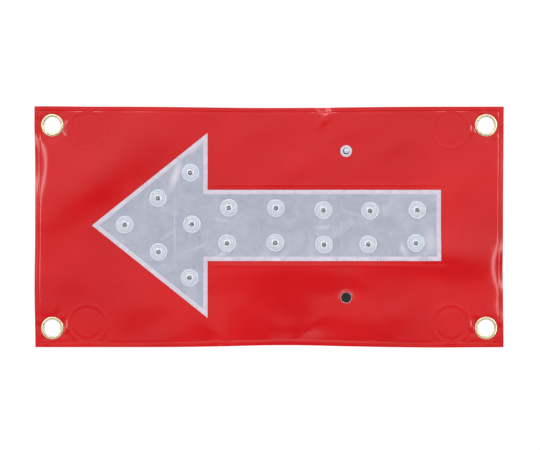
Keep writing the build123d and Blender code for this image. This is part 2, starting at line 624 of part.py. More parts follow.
def make_battery_door():
    """A plate with a tongue along each side and grip ribs at its lower end."""
    half = DOOR_WIDTH / 2
    tongue = half + DOOR_TONGUE_WIDTH
    top = DOOR_HIGH_Z - DOOR_CLEARANCE
    door = block(CASE_X - half, CASE_X + half, DOOR_FRONT_Y, DOOR_BACK_Y, DOOR_LOW_Z, top)
    door += block(CASE_X - tongue, CASE_X + tongue, TONGUE_FRONT_Y, TONGUE_BACK_Y, DOOR_LOW_Z, top)
    for i in range(DOOR_RIB_COUNT):
        z = DOOR_LOW_Z + (i + 2) * DOOR_RIB_PITCH
        rib = Pos(CASE_X, DOOR_BACK_Y, z) * Rot(0, 90, 0) * Cylinder(DOOR_RIB_HEIGHT, DOOR_RIB_LENGTH)
        door += rib
    return door


def make_screw(x, z):
    deck = LOW_DECK_Y if z < CASE_Z else CASE_BACK_Y
    head_back = deck - SCREW_RECESS
    head_front = head_back - SCREW_HEAD_HEIGHT
    screw = disc(x, z, FLOOR_BACK_Y + 2 * SCREW_TIP_GAP, head_front, SCREW_DIAMETER)
    screw += disc(x, z, head_front, head_back, SCREW_HEAD_DIAMETER)
    half = SCREW_SLOT_WIDTH / 2
    reach = SCREW_SLOT_LENGTH / 2
    slot_front = head_back - SCREW_SLOT_DEPTH
    screw -= block(x - half, x + half, slot_front, head_back, z - reach, z + reach)
    screw -= block(x - reach, x + reach, slot_front, head_back, z - half, z + half)
    return screw


def cell_columns():
    """Each column of cells: its x, and whether its nubs point up."""
    return [(CASE_X - CELL_STEP_X, True), (CASE_X + CELL_STEP_X, False)]


def make_cells():
    cells = []
    barrel = CELL_LENGTH - CELL_NUB_LENGTH
    for x, up in cell_columns():
        end = BAY_HIGH_Z - CONTACT_STACK - CELL_END_GAP
        if not up:
            end = BAY_LOW_Z + CONTACT_STACK + CELL_END_GAP
        sign = -1 if up else 1
        for row in range(2):
            nose = end + sign * row * (CELL_LENGTH + CELL_END_GAP)
            shoulder = nose + sign * CELL_NUB_LENGTH
            nub = Cylinder(CELL_NUB_DIAMETER / 2, CELL_NUB_LENGTH)
            can = Cylinder(CELL_DIAMETER / 2, barrel)
            can = Pos(x, CELL_Y, shoulder + sign * barrel / 2) * can
            cells.append(can + Pos(x, CELL_Y, (nose + shoulder) / 2) * nub)
    return cells


def make_contacts():
    """A plate at each end of each column."""
    half = CONTACT_WIDTH / 2
    plates = []
    for x, _ in cell_columns():
        for low in (BAY_LOW_Z + CONTACT_SEAT, BAY_HIGH_Z - CONTACT_STACK):
            high = low + CONTACT_THICKNESS
            plates.append(block(x - half, x + half, CELL_Y - half, CELL_Y + half, low, high))
    return plates


def coil(radius, length, turns, wire):
    """A coil spring along Z from z = 0, its wire's outside length long."""
    height = length - wire
    path = Helix(pitch=height / turns, height=height, radius=radius, center=(0, 0, wire / 2))
    return sweep(Plane(origin=path @ 0, z_dir=path % 0) * Circle(wire / 2), path=path, is_frenet=True)


def make_cell_springs():
    springs = []
    for x, up in cell_columns():
        low = BAY_LOW_Z + CONTACT_STACK
        if not up:
            low = BAY_HIGH_Z - CONTACT_STACK - CELL_SPRING_LENGTH
        spring = coil(CELL_SPRING_RADIUS, CELL_SPRING_LENGTH, CELL_SPRING_TURNS, CELL_SPRING_WIRE)
        springs.append(Pos(x, CELL_Y, low) * spring)
    return springs


def make_button():
    """The cap, its collar behind the case's floor, and the plunger into the switch."""
    front = -FRONT_THICKNESS - BUTTON_PROUD
    cap = disc(BUTTON_X, BUTTON_Z, front, COLLAR_FRONT_Y, BUTTON_DIAMETER)
    cap = fillet(cap.edges().group_by(Axis.Y)[0], BUTTON_FILLET)
    cap += disc(BUTTON_X, BUTTON_Z, COLLAR_FRONT_Y, COLLAR_BACK_Y, BUTTON_COLLAR)
    reach = SWITCH_FRONT_Y + PLUNGER_OVERLAP
    return cap + disc(BUTTON_X, BUTTON_Z, COLLAR_BACK_Y, reach, PLUNGER_DIAMETER)


def make_button_spring():
    spring = coil(BUTTON_SPRING_RADIUS, BUTTON_SPRING_LENGTH, BUTTON_SPRING_TURNS, BUTTON_SPRING_WIRE)
    return Pos(BUTTON_X, COLLAR_BACK_Y, BUTTON_Z) * Rot(-90, 0, 0) * spring


def make_switch():
    body = Box(SWITCH_SIZE, SWITCH_HEIGHT, SWITCH_SIZE)
    body = Pos(BUTTON_X, SWITCH_FRONT_Y + SWITCH_HEIGHT / 2, BUTTON_Z) * body
    well = PLUNGER_DIAMETER + 2 * PLUNGER_CLEARANCE
    return body - disc(BUTTON_X, BUTTON_Z, SWITCH_FRONT_Y, SWITCH_FRONT_Y + SWITCH_WELL, well)


def make_board(front, low, high):
    """A board between the case's walls, cut round the screw pillars."""
    half = CASE_INNER_WIDTH / 2 - BOARD_SIDE_GAP
    board = block(CASE_X - half, CASE_X + half, front, front + BOARD_THICKNESS, low, high)
    room = PILLAR_DIAMETER + 2 * BOARD_PILLAR_GAP
    return board - [disc(x, z, front, front + BOARD_THICKNESS, room) for x, z in PILLARS]


def make_board_chips():
    """The timer on the control board and the driver on the sensor board."""
    width, height, length = CHIP_SIZE
    places = (
        (CONTROL_BOARD_Y + BOARD_THICKNESS, (CONTROL_LOW_Z + CONTROL_HIGH_Z) / 2),
        (SENSOR_BOARD_Y + BOARD_THICKNESS, (SENSOR_LOW_Z + SENSOR_HIGH_Z) / 2),
    )
    return [Pos(CASE_X, front + height / 2, z) * Box(width, height, length) for front, z in places]


def make_capacitors():
    """Two cans that stand on the sensor board, beside its chip."""
    front = SENSOR_BOARD_Y + BOARD_THICKNESS
    z = (SENSOR_LOW_Z + SENSOR_HIGH_Z) / 2
    step = CHIP_SIZE[0] / 2 + CAPACITOR_DIAMETER
    back = front + CAPACITOR_HEIGHT
    return [disc(CASE_X + side * step, z, front, back, CAPACITOR_DIAMETER) for side in (-1, 1)]


def make_sensor_ring():
    """The ring round the sensor's window, with a stem through the sheet and the floor."""
    front = -FRONT_THICKNESS - SENSOR_RING_HEIGHT
    ring = disc(SENSOR_X, SENSOR_Z, front, -FRONT_THICKNESS, SENSOR_RING)
    ring = fillet(ring.edges().group_by(Axis.Y)[0], SENSOR_RING_ROUND)
    ring += disc(SENSOR_X, SENSOR_Z, -FRONT_THICKNESS, FLOOR_BACK_Y, SENSOR_STEM)
    bore = SENSOR_WINDOW + 2 * SENSOR_CLEARANCE
    return ring - disc(SENSOR_X, SENSOR_Z, front, FLOOR_BACK_Y, bore)


def make_sensor_window():
    radius = SENSOR_WINDOW / 2
    base = -FRONT_THICKNESS - SENSOR_RING_HEIGHT - SENSOR_PROUD
    back = SENSOR_BOARD_Y - SENSOR_CELL_GAP - SENSOR_CELL_DIAMETER / 2
    walls = Polyline((0, base - SENSOR_DOME_RISE), (0, back), (radius, back), (radius, base))
    return turned(SENSOR_X, SENSOR_Z, walls.edges() + cap_arc(radius, base, SENSOR_DOME_RISE).edges())


def make_light_sensor():
    """The light cell, standing on its board behind the window."""
    back = SENSOR_BOARD_Y
    front = back - SENSOR_CELL_DIAMETER / 2
    return disc(SENSOR_X, SENSOR_Z, front, back, SENSOR_CELL_DIAMETER)


def main():
    os.makedirs("parts", exist_ok=True)
    save("front_sheet", make_front_sheet())
    save("rear_sheet", make_rear_sheet())
    save("arrow_panel", make_arrow_panel())
    save("arrow_backing", make_backing())
    save("eyelets", *[make_eyelet(x, z) for x, z in EYELETS])
    save("eyelet_washers", *[make_eyelet_washer(x, z) for x, z in EYELETS])
    save("magnets", *[disc(x, z, 0, MAGNET_THICKNESS, MAGNET_DIAMETER) for x, z in MAGNETS])
    for number, (x, z) in enumerate(LAMPS, 1):
        save(f"lamp_lens_{number:02}", make_lens(x, z))
        save(f"lamp_bulb_{number:02}", make_bulb(x, z))
    save("lamp_retainers", *[make_retainer(x, z) for x, z in LAMPS])
    save("lamp_boards", *[make_lamp_board(x, z) for x, z in LAMPS])
    save("lamp_leads", *make_lamp_leads())
    save("case_leads", *make_case_leads(), make_board_lead())
    save("case_tray", make_case_tray())
    save("case_gasket", make_gasket())
    save("case_cover", make_case_cover())
    save("case_screws", *[make_screw(x, z) for x, z in PILLARS])
    save("battery_door", make_battery_door())
    save("battery_cells", *make_cells())
    save("cell_contacts", *make_contacts())
    save("cell_springs", *make_cell_springs())
    save("push_button", make_button())
    save("button_spring", make_button_spring())
    save("button_switch", make_switch())
    save("control_board", make_board(CONTROL_BOARD_Y, CONTROL_LOW_Z, CONTROL_HIGH_Z))
    save("sensor_board", make_board(SENSOR_BOARD_Y, SENSOR_LOW_Z, SENSOR_HIGH_Z))
    save("board_parts", *make_board_chips(), *make_capacitors())
    save("sensor_ring", make_sensor_ring())
    save("sensor_window", make_sensor_window())
    save("light_sensor", make_light_sensor())


main()
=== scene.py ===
import json
import math

import bmesh
import bpy
from mathutils import Matrix, Vector, noise


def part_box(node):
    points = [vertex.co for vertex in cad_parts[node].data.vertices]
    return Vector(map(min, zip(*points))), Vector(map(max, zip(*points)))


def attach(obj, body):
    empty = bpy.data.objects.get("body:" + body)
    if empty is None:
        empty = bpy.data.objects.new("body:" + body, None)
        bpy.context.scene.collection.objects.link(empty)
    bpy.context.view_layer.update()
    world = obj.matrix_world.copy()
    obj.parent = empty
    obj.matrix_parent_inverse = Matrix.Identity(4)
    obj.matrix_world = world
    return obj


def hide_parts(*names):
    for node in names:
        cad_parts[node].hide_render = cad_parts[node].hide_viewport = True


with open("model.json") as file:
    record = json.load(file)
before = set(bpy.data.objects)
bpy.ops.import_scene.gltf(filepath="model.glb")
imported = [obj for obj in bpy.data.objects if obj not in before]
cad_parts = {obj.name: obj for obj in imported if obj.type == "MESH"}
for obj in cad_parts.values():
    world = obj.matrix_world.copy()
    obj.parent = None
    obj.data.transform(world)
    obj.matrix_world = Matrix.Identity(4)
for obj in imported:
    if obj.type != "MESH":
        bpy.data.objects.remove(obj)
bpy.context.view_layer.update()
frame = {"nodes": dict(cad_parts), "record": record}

# Pieces are drawn in millimetres, and newPiece takes each finished mesh to metres.
mm = 0.001
scene = bpy.context.scene
nodes = frame["nodes"]
print("frame loaded:", len(nodes), "nodes")


# Camera, light and floor

stage = {
    "lens": 104.0,
    "cameraPlace": (0.00103, -2.0, 0.00205),
    "floor": {"x": 3.0, "front": -1.3, "back": 2.1, "z": -0.62},
    "skyStops": (  # height of the direction, brightness
        (-1.0, 0.48), (-0.62, 0.30), (-0.50, 0.04), (-0.145, 0.03), (-0.085, 0.38), (0.0, 0.48),
        (0.14, 0.60), (0.45, 0.62), (1.0, 0.68),
    ),
    "lights": {  # place, aim, size, power
        "keyLight": ((-0.9, -1.7, 1.5), (0, 0, 0), (1.1, 0.9), 8.6),
        "fillLight": ((1.3, -1.8, 0.7), (0, 0, 0), (0.9, 0.9), 4.4),
        "leftStrip": ((-1.25, -1.6, 0.15), (0, 0, 0), (0.34, 1.5), 6.5),
        "rightStrip": ((1.25, -1.6, 0.05), (0, 0, 0), (0.34, 1.5), 6.5),
        "topStrip": ((0.15, -1.6, 1.10), (0, 0, 0), (1.3, 0.22), 4.5),
        "backLight": ((0.7, 1.9, 1.3), (0, 0, 0), (1.2, 1.0), 12.5),
        "backFill": ((-1.3, 1.5, 0.5), (0, 0, 0), (0.8, 0.8), 5.5),
    },
}


def addNode(tree, kind, settings=(), **inputs):  # inputs: a socket's name, or i and its number
    made = tree.nodes.new("ShaderNode" + kind)
    for key, value in dict(settings).items():
        setattr(made, key, value)
    for key, value in inputs.items():
        socket = made.inputs[int(key[1:]) if key[1:].isdigit() else key.replace("_", " ")]
        if isinstance(value, bpy.types.NodeSocket):
            tree.links.new(value, socket)
        else:
            socket.default_value = value
    return made


def placeCamera():
    camera = bpy.data.objects.new("camera", bpy.data.cameras.new("camera"))
    camera.data.lens = stage["lens"]
    camera.data.sensor_width = 36.0
    camera.location = stage["cameraPlace"]
    camera.rotation_euler = (math.pi / 2, 0, 0)
    scene.collection.objects.link(camera)
    scene.camera = camera


def placeLights():
    for name, (place, aim, size, power) in stage["lights"].items():
        light = bpy.data.lights.new(name, "AREA")
        light.shape = "RECTANGLE"
        light.size, light.size_y = size
        light.energy = power
        lamp = bpy.data.objects.new(name, light)
        lamp.location = place
        lamp.rotation_euler = (Vector(aim) - Vector(place)).to_track_quat("-Z", "Y").to_euler()
        scene.collection.objects.link(lamp)


def makeSky():  # white behind the piece, and a soft grey room in its reflections
    world = bpy.data.worlds.new("softRoom")
    scene.world = world
    world.use_nodes = True
    tree = world.node_tree
    tree.nodes.clear()
    direction = addNode(tree, "TexCoord").outputs["Generated"]
    height = addNode(tree, "SeparateXYZ", Vector=direction).outputs["Z"]
    share = addNode(tree, "MapRange", i0=height, i1=-1.0, i2=1.0).outputs[0]
    ramp = addNode(tree, "ValToRGB", Fac=share)
    stops = stage["skyStops"]
    while len(ramp.color_ramp.elements) < len(stops):
        ramp.color_ramp.elements.new(0.5)
    for element, (z, value) in zip(ramp.color_ramp.elements, stops):
        element.position = (z + 1) / 2
        element.color = (value, value * 0.99, value * 0.95, 1)
    room = addNode(tree, "Background", Color=ramp.outputs[0])
    white = addNode(tree, "Background", Color=(1, 1, 1, 1), Strength=1.05)
    seen = addNode(tree, "LightPath").outputs["Is Camera Ray"]
    mix = addNode(tree, "MixShader", i0=seen, i1=room.outputs[0], i2=white.outputs[0])
    addNode(tree, "OutputWorld", Surface=mix.outputs[0])


def makeFloor():
    s = stage["floor"]
    bm = bmesh.new()
    bmesh.ops.create_grid(bm, x_segments=24, y_segments=24, size=1.0)
    bmesh.ops.scale(bm, vec=(s["x"], (s["back"] - s["front"]) / 2, 1), verts=bm.verts)
    bmesh.ops.translate(bm, vec=(0, (s["back"] + s["front"]) / 2, s["z"]), verts=bm.verts)
    mesh = bpy.data.meshes.new("floor")
    bm.to_mesh(mesh)
    bm.free()
    material, tree, shader, coords = startMaterial("paleFloor", Roughness=0.6)
    tone = shades(tree, cloud(tree, coords, 300, 3), (0.80, 0.80, 0.80), (0.84, 0.84, 0.835))
    tree.links.new(tone, shader.inputs["Base Color"])
    mesh.materials.append(material)
    floor = bpy.data.objects.new("floor", mesh)
    scene.collection.objects.link(floor)


# Materials

def startMaterial(name, **fixed):
    material = bpy.data.materials.new(name)
    material.use_nodes = True
    tree = material.node_tree
    shader = tree.nodes["Principled BSDF"]
    for key, value in fixed.items():
        shader.inputs[key.replace("_", " ")].default_value = value
    coords = addNode(tree, "TexCoord").outputs["Object"]
    return material, tree, shader, coords


def cloud(tree, coords, size, detail=3.0, warp=0.0, rough=0.5):
    made = addNode(
        tree, "TexNoise", Vector=coords, Scale=1 / (size * mm), Detail=detail, Distortion=warp,
        Roughness=rough,
    )
    return made.outputs[0]


def stripes(tree, coords, axis, pitch):
    made = addNode(
        tree, "TexWave", {"bands_direction": axis}, Vector=coords, Scale=math.pi / 10 / (pitch * mm),
    )
    return made.outputs["Fac"]


def maths(tree, operation, a, b):
    return addNode(tree, "Math", {"operation": operation}, i0=a, i1=b).outputs[0]


def levels(tree, value, low, high, start=0.3, end=0.7):
    made = addNode(tree, "MapRange", i0=value, i1=start, i2=end, i3=low, i4=high)
    return made.outputs[0]


def shades(tree, value, dark, light, start=0.3, end=0.7):
    ramp = addNode(tree, "ValToRGB", Fac=value)
    for element, place, colour in zip(ramp.color_ramp.elements, (start, end), (dark, light)):
        element.position = place
        element.color = (*colour, 1)
    return ramp.outputs[0]


def blendColour(tree, share, a, b):
    made = addNode(tree, "Mix", {"data_type": "RGBA"}, i0=share)
    for socket, value in ((made.inputs[6], a), (made.inputs[7], b)):
        if isinstance(value, bpy.types.NodeSocket):
            tree.links.new(value, socket)
        else:
            socket.default_value = (*value, 1)
    return made.outputs[2]


def softSpot(tree, coords, centre, reach, turn=0.0):  # 1 at an oval spot's middle, 0 outside it
    placed = addNode(
        tree, "Mapping", {"vector_type": "TEXTURE"}, Vector=coords,
        Location=(centre[0] * mm, 0, centre[1] * mm), Rotation=(0, -math.radians(turn), 0),
        Scale=(reach[0] * mm, 1000.0, reach[1] * mm),
    ).outputs[0]
    far = addNode(tree, "VectorMath", {"operation": "LENGTH"}, i0=placed).outputs["Value"]
    made = addNode(
        tree, "MapRange", {"interpolation_type": "SMOOTHSTEP"}, i0=far, i1=0.0, i2=1.0, i3=1.0, i4=0.0,
    )
    return made.outputs[0]


def addBump(tree, shader, heights):  # heights: (value, depth in mm, strength), coarse to fine
    normal = None
    for value, depth, strength in heights:
        bump = addNode(tree, "Bump", Height=value, Distance=depth * mm, Strength=strength)
        if normal:
            tree.links.new(normal, bump.inputs["Normal"])
        normal = bump.outputs[0]
    tree.links.new(normal, shader.inputs["Normal"])


vinylLook = {
    "deep": (0.570, 0.0045, 0.0080),
    "bright": (0.650, 0.0085, 0.0125),
    "patch": 130.0,
    "scrimPitch": 1.15,
    "gloss": (0.15, 0.21),
}


def makeVinyl():
    look = vinylLook
    material, tree, shader, coords = startMaterial(
        "redVinyl", IOR=1.5, Coat_Weight=0.3, Coat_Roughness=0.09,
    )
    tone = shades(tree, cloud(tree, coords, look["patch"], 3), look["deep"], look["bright"], 0.35, 0.65)
    fleck = levels(tree, cloud(tree, coords, 2.2, 5), 0.0, 0.16, 0.45, 0.75)
    tone = blendColour(tree, fleck, tone, (0.66, 0.022, 0.026))
    tree.links.new(tone, shader.inputs["Base Color"])
    shine = levels(tree, cloud(tree, coords, 28, 2), *look["gloss"], 0.2, 0.8)
    tree.links.new(shine, shader.inputs["Roughness"])
    scrim = maths(
        tree, "MULTIPLY", stripes(tree, coords, "X", look["scrimPitch"]),
        stripes(tree, coords, "Z", look["scrimPitch"]),
    )
    addBump(tree, shader, (
        (cloud(tree, coords, 20, 1), 0.07, 0.5),
        (scrim, 0.035, 0.35),
        (cloud(tree, coords, 0.5, 2), 0.01, 0.4),
    ))
    return material


filmLook = {
    "shade": (0.372, 0.396, 0.498),
    "light": (0.452, 0.476, 0.580),
    "haze": (0.76, 0.72, 0.82),
    "streaks": (  # middle, half length and half width, turn in degrees, share
        ((-120.0, 66.0), (30.0, 7.5), 72.0, 0.8),
        ((-121.0, -3.0), (1.3, 76.0), 0.0, 0.45),
        ((-98.0, 100.0), (20.0, 7.0), 36.0, 0.6),
        ((-133.0, 88.0), (80.0, 10.0), 37.5, 0.35),
        ((-205.0, 20.0), (30.0, 8.0), 37.5, 0.45),
        ((-132.0, -12.0), (22.0, 3.5), 38.0, 0.25),
        ((-90.0, -26.0), (26.0, 3.0), 22.0, 0.30),
        ((-60.0, 8.0), (34.0, 4.0), -8.0, 0.25),
        ((-58.0, -34.0), (30.0, 5.0), 30.0, 0.45),
        ((70.0, -1.0), (20.0, 4.0), 2.0, 0.35),
        ((110.0, 16.0), (26.0, 3.5), -18.0, 0.25),
        ((206.0, -18.0), (12.0, 24.0), 8.0, 0.45),
    ),
}


def makeFilm():
    look = filmLook
    material, tree, shader, coords = startMaterial(
        "prismaticFilm", IOR=1.5, Coat_Weight=0.6, Coat_Roughness=0.1,
    )
    swirl = cloud(tree, coords, 46, 4, 1.6, 0.55)
    tone = shades(tree, swirl, look["shade"], look["light"], 0.36, 0.66)
    wisps = levels(tree, cloud(tree, coords, 20, 3, 3.0), 0.0, 0.22, 0.55, 0.75)
    tone = blendColour(tree, wisps, tone, look["haze"])
    for centre, reach, turn, share in look["streaks"]:
        spot = softSpot(tree, coords, centre, reach, turn)
        tone = blendColour(tree, maths(tree, "MULTIPLY", spot, share), tone, look["haze"])
    tree.links.new(tone, shader.inputs["Base Color"])
    shine = levels(tree, cloud(tree, coords, 12, 3, 1.0), 0.22, 0.4)
    tree.links.new(shine, shader.inputs["Roughness"])
    cells = addNode(tree, "TexVoronoi", {"feature": "DISTANCE_TO_EDGE"}, Vector=coords, Scale=420.0)
    addBump(tree, shader, (
        (cloud(tree, coords, 24, 3, 2.0), 0.20, 0.6),
        (cells.outputs["Distance"], 0.05, 0.25),
        (cloud(tree, coords, 1.2, 2), 0.01, 0.4),
    ))
    return material


def makeWeld():  # the film pressed white along its welded border
    material, tree, shader, coords = startMaterial("weldedFilm", IOR=1.48, Coat_Weight=0.3)
    tone = shades(tree, cloud(tree, coords, 9, 4, 0.5), (0.60, 0.55, 0.66), (0.70, 0.65, 0.76))
    tree.links.new(tone, shader.inputs["Base Color"])
    tree.links.new(levels(tree, cloud(tree, coords, 3, 3), 0.25, 0.45), shader.inputs["Roughness"])
    addBump(tree, shader, ((cloud(tree, coords, 0.8, 3), 0.03, 0.5),))
    return material


def makeClear(name, tint, clearness, gloss):
    material, tree, shader, coords = startMaterial(
        name, IOR=1.49, Transmission_Weight=clearness, Specular_IOR_Level=0.9, Coat_Weight=0.8,
        Coat_Roughness=0.04,
    )
    tone = shades(tree, cloud(tree, coords, 7, 3), tint, [min(1, c * 1.05) for c in tint])
    tree.links.new(tone, shader.inputs["Base Color"])
    tree.links.new(levels(tree, cloud(tree, coords, 3, 3), gloss, gloss * 2.2), shader.inputs["Roughness"])
    addBump(tree, shader, ((cloud(tree, coords, 1.6, 2), 0.02, 0.3),))
    return material


def makeMetal(name, dark, light, gloss, scratch):
    material, tree, shader, coords = startMaterial(name, Metallic=1.0)
    tone = shades(tree, cloud(tree, coords, 6, 5, 0.8), dark, light)
    tree.links.new(tone, shader.inputs["Base Color"])
    long = addNode(tree, "Mapping", Vector=coords, Scale=(1.0, 1.0, 0.08)).outputs[0]
    lines = cloud(tree, long, scratch, 3)
    tree.links.new(levels(tree, lines, gloss, gloss * 1.8), shader.inputs["Roughness"])
    addBump(tree, shader, ((cloud(tree, coords, 4, 0), 0.004, 0.3), (lines, 0.0006, 0.4)))
    return material


def makeMoulded(name, dark, light, gloss, grain, depth):  # spark-eroded or polished
    material, tree, shader, coords = startMaterial(name, IOR=1.5)
    tone = shades(tree, cloud(tree, coords, 11, 4, 0.4), dark, light)
    tree.links.new(tone, shader.inputs["Base Color"])
    tree.links.new(levels(tree, cloud(tree, coords, 5, 4), gloss, gloss * 1.35), shader.inputs["Roughness"])
    addBump(tree, shader, ((cloud(tree, coords, grain, 2), depth, 0.6),))
    return material


def makeBoard():  # green mask with copper runs showing through
    material, tree, shader, coords = startMaterial("circuitBoard", IOR=1.5)
    runs = addNode(
        tree, "TexBrick", {"offset": 0.5}, Vector=coords, Scale=120.0, Mortar_Size=0.06, i5=0.1, i6=0.0,
        Color1=(0.012, 0.12, 0.05, 1), Color2=(0.018, 0.15, 0.06, 1), Mortar=(0.05, 0.26, 0.11, 1),
    )
    mottle = levels(tree, cloud(tree, coords, 2, 4), 0.0, 0.35)
    tone = blendColour(tree, mottle, runs.outputs[0], (0.01, 0.09, 0.04))
    tree.links.new(tone, shader.inputs["Base Color"])
    tree.links.new(levels(tree, cloud(tree, coords, 4, 3), 0.25, 0.42), shader.inputs["Roughness"])
    addBump(tree, shader, ((runs.outputs["Fac"], 0.03, 0.5),))
    return material


def makeWrap():  # shrunk film with a plain pale band at one end of each cell
    material, tree, shader, coords = startMaterial("cellWrap", IOR=1.5, Coat_Weight=0.4)
    tone = shades(tree, cloud(tree, coords, 14, 3), (0.03, 0.05, 0.16), (0.05, 0.09, 0.25))
    bands = levels(tree, stripes(tree, coords, "Z", 50.6), 0.0, 1.0, 0.90, 0.93)
    tree.links.new(blendColour(tree, bands, tone, (0.70, 0.60, 0.32)), shader.inputs["Base Color"])
    tree.links.new(levels(tree, cloud(tree, coords, 3, 3), 0.15, 0.3), shader.inputs["Roughness"])
    addBump(tree, shader, ((cloud(tree, coords, 2.5, 3), 0.03, 0.4),))
    return material


clearLooks = {  # slot: name, tint, clearness, gloss
    "clear_plastic": ("clearAcrylic", (0.80, 0.855, 1.0), 0.22, 0.06),
    "clear_dome": ("clearDome", (0.92, 0.94, 1.0), 0.9, 0.03),
    "bulb_resin": ("bulbResin", (0.86, 0.87, 0.91), 0.9, 0.05),
}
metalLooks = {  # slot: name, dark, light, gloss, scratch pitch
    "eyelet_brass": ("paleBrass", (0.76, 0.67, 0.44), (0.86, 0.78, 0.57), 0.2, 1.2),
    "screw_steel": ("zincSteel", (0.45, 0.45, 0.46), (0.68, 0.68, 0.67), 0.25, 0.8),
    "contact_steel": ("nickelSteel", (0.60, 0.59, 0.57), (0.78, 0.77, 0.75), 0.16, 0.8),
}
mouldedLooks = {  # slot: name, dark, light, gloss, grain size, grain depth
    "lead_frame": ("leadFrame", (0.72, 0.72, 0.74), (0.86, 0.86, 0.88), 0.5, 0.5, 0.02),
    "backing_sheet": ("backingSheet", (0.66, 0.66, 0.67), (0.76, 0.76, 0.77), 0.5, 1.6, 0.05),
    "magnet_black": ("sinteredFerrite", (0.03, 0.03, 0.033), (0.08, 0.08, 0.085), 0.55, 0.5, 0.05),
    # the white plastic finish is also the painted highlight ring on the button's cuff
    "white_plastic": ("whitePlastic", (0.60, 0.56, 0.66), (0.70, 0.67, 0.76), 0.28, 0.9, 0.02),
    "lead_black": ("leadSleeve", (0.014, 0.014, 0.015), (0.03, 0.03, 0.03), 0.5, 0.7, 0.03),
    "case_black": ("caseBlack", (0.024, 0.024, 0.026), (0.034, 0.034, 0.037), 0.34, 0.55, 0.04),
    "gasket_rubber": ("gasketRubber", (0.03, 0.03, 0.03), (0.06, 0.06, 0.06), 0.7, 0.4, 0.03),
    "button_black": ("buttonRubber", (0.006, 0.006, 0.008), (0.014, 0.014, 0.017), 0.3, 0.6, 0.01),
    # the switch's black finish also paints shade in the sensor ring's bore and on the ledge round the
    # window's foot
    "switch_black": ("switchBody", (0.02, 0.02, 0.02), (0.05, 0.05, 0.05), 0.45, 0.6, 0.03),
    "chip_black": ("chipBlack", (0.02, 0.02, 0.022), (0.045, 0.045, 0.05), 0.38, 0.35, 0.02),
}


def makeMaterials():
    made = {
        "red_vinyl": makeVinyl(),
        "prismatic_film": makeFilm(),
        "welded_film": makeWeld(),
        "board_green": makeBoard(),
        "cell_wrap": makeWrap(),
    }
    for maker, looks in ((makeClear, clearLooks), (makeMetal, metalLooks), (makeMoulded, mouldedLooks)):
        made.update({slot: maker(*look) for slot, look in looks.items()})
    return made


# Shared modelling steps

def newPiece(name, bm, finishes, body="root", replaced=(), sharpAngle=32.0):
    bmesh.ops.scale(bm, vec=(mm, mm, mm), verts=bm.verts)
    mesh = bpy.data.meshes.new(name)
    bm.to_mesh(mesh)
    bm.free()
    for finish in finishes:
        mesh.materials.append(materials[finish])
    for face in mesh.polygons:
        face.use_smooth = True
    mesh.set_sharp_from_angle(angle=math.radians(sharpAngle))
    piece = bpy.data.objects.new(name, mesh)
    scene.collection.objects.link(piece)
    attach(piece, body)
    if replaced:
        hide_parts(*replaced)
    return piece


def spinProfile(bm, x, z, profile, steps):  # profile: closed loop of (radius, y) points round the Y axis
    points = [bm.verts.new((x + radius, y, z)) for radius, y in profile]
    edges = [bm.edges.new(pair) for pair in zip(points, points[1:] + points[:1])]
    bmesh.ops.spin(
        bm, geom=points + edges, cent=(x, 0, z), axis=(0, 1, 0), angle=2 * math.pi, steps=steps,
        use_merge=True,
    )


def tidyShell(bm):
    bmesh.ops.remove_doubles(bm, verts=bm.verts, dist=0.0005)
    bmesh.ops.recalc_face_normals(bm, faces=bm.faces)


def joinInto(bm, other):
    mesh = bpy.data.meshes.new("joined")
    other.to_mesh(mesh)
    other.free()
    bm.from_mesh(mesh)
    bpy.data.meshes.remove(mesh)


def nodeMiddle(node):
    low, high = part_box(node)
    return (low.x + high.x) / 2 / mm, (low.z + high.z) / 2 / mm


def cornerPlaces(node, radius):  # the four axes of a node whose solids stand at the sheet's corners
    low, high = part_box(node)
    return [
        (x, z)
        for x in (low.x / mm + radius, high.x / mm - radius)
        for z in (low.z / mm + radius, high.z / mm - radius)
    ]


def ease(value, start, end):  # 0 before start, 1 after end
    t = max(0.0, min(1.0, (value - start) / (end - start)))
    return t * t * (3 - 2 * t)


def bell(x, z, centre, reach, turn=0.0):
    dx, dz = x - centre[0], z - centre[1]
    c, s = math.cos(math.radians(turn)), math.sin(math.radians(turn))
    u, v = (dx * c + dz * s) / reach[0], (dz * c - dx * s) / reach[1]
    return math.exp(-u * u - v * v) if abs(u) < 3 and abs(v) < 3 else 0.0


def ridge(place, middle, width):  # 1 on the line at middle, 0 well off it
    return math.exp(-(((place - middle) / width) ** 2))


def nearest(x, z, places):
    return min(math.hypot(x - px, z - pz) for px, pz in places)


def faceDistance(face, x, z):
    middle = face.calc_center_median()
    return math.hypot(middle.x - x, middle.z - z)


def cutLine(bm, place, normal):
    bmesh.ops.bisect_plane(
        bm, geom=bm.verts[:] + bm.edges[:] + bm.faces[:], dist=0.0001, plane_co=place, plane_no=normal,
    )


def refine(bm, wanted, cuts):
    edges = [
        e for e in bm.edges
        if wanted(*((e.verts[0].co + e.verts[1].co) / 2).xz)
    ]
    bmesh.ops.subdivide_edges(bm, edges=edges, cuts=cuts, use_grid_fill=True)


def punch(bm, x, z, radius):  # a round hole, with its rim drawn on to the circle
    centre = Vector((x, z))
    inside = [f for f in bm.faces if (f.calc_center_median().xz - centre).length < radius]
    bmesh.ops.delete(bm, geom=inside, context="FACES")
    for v in bm.verts:
        away = v.co.xz - centre
        if v.is_boundary and 0 < away.length < radius * 1.6 + 2:
            away.length = radius
            v.co.x, v.co.z = centre.x + away.x, centre.y + away.y


# Places that come from the frame

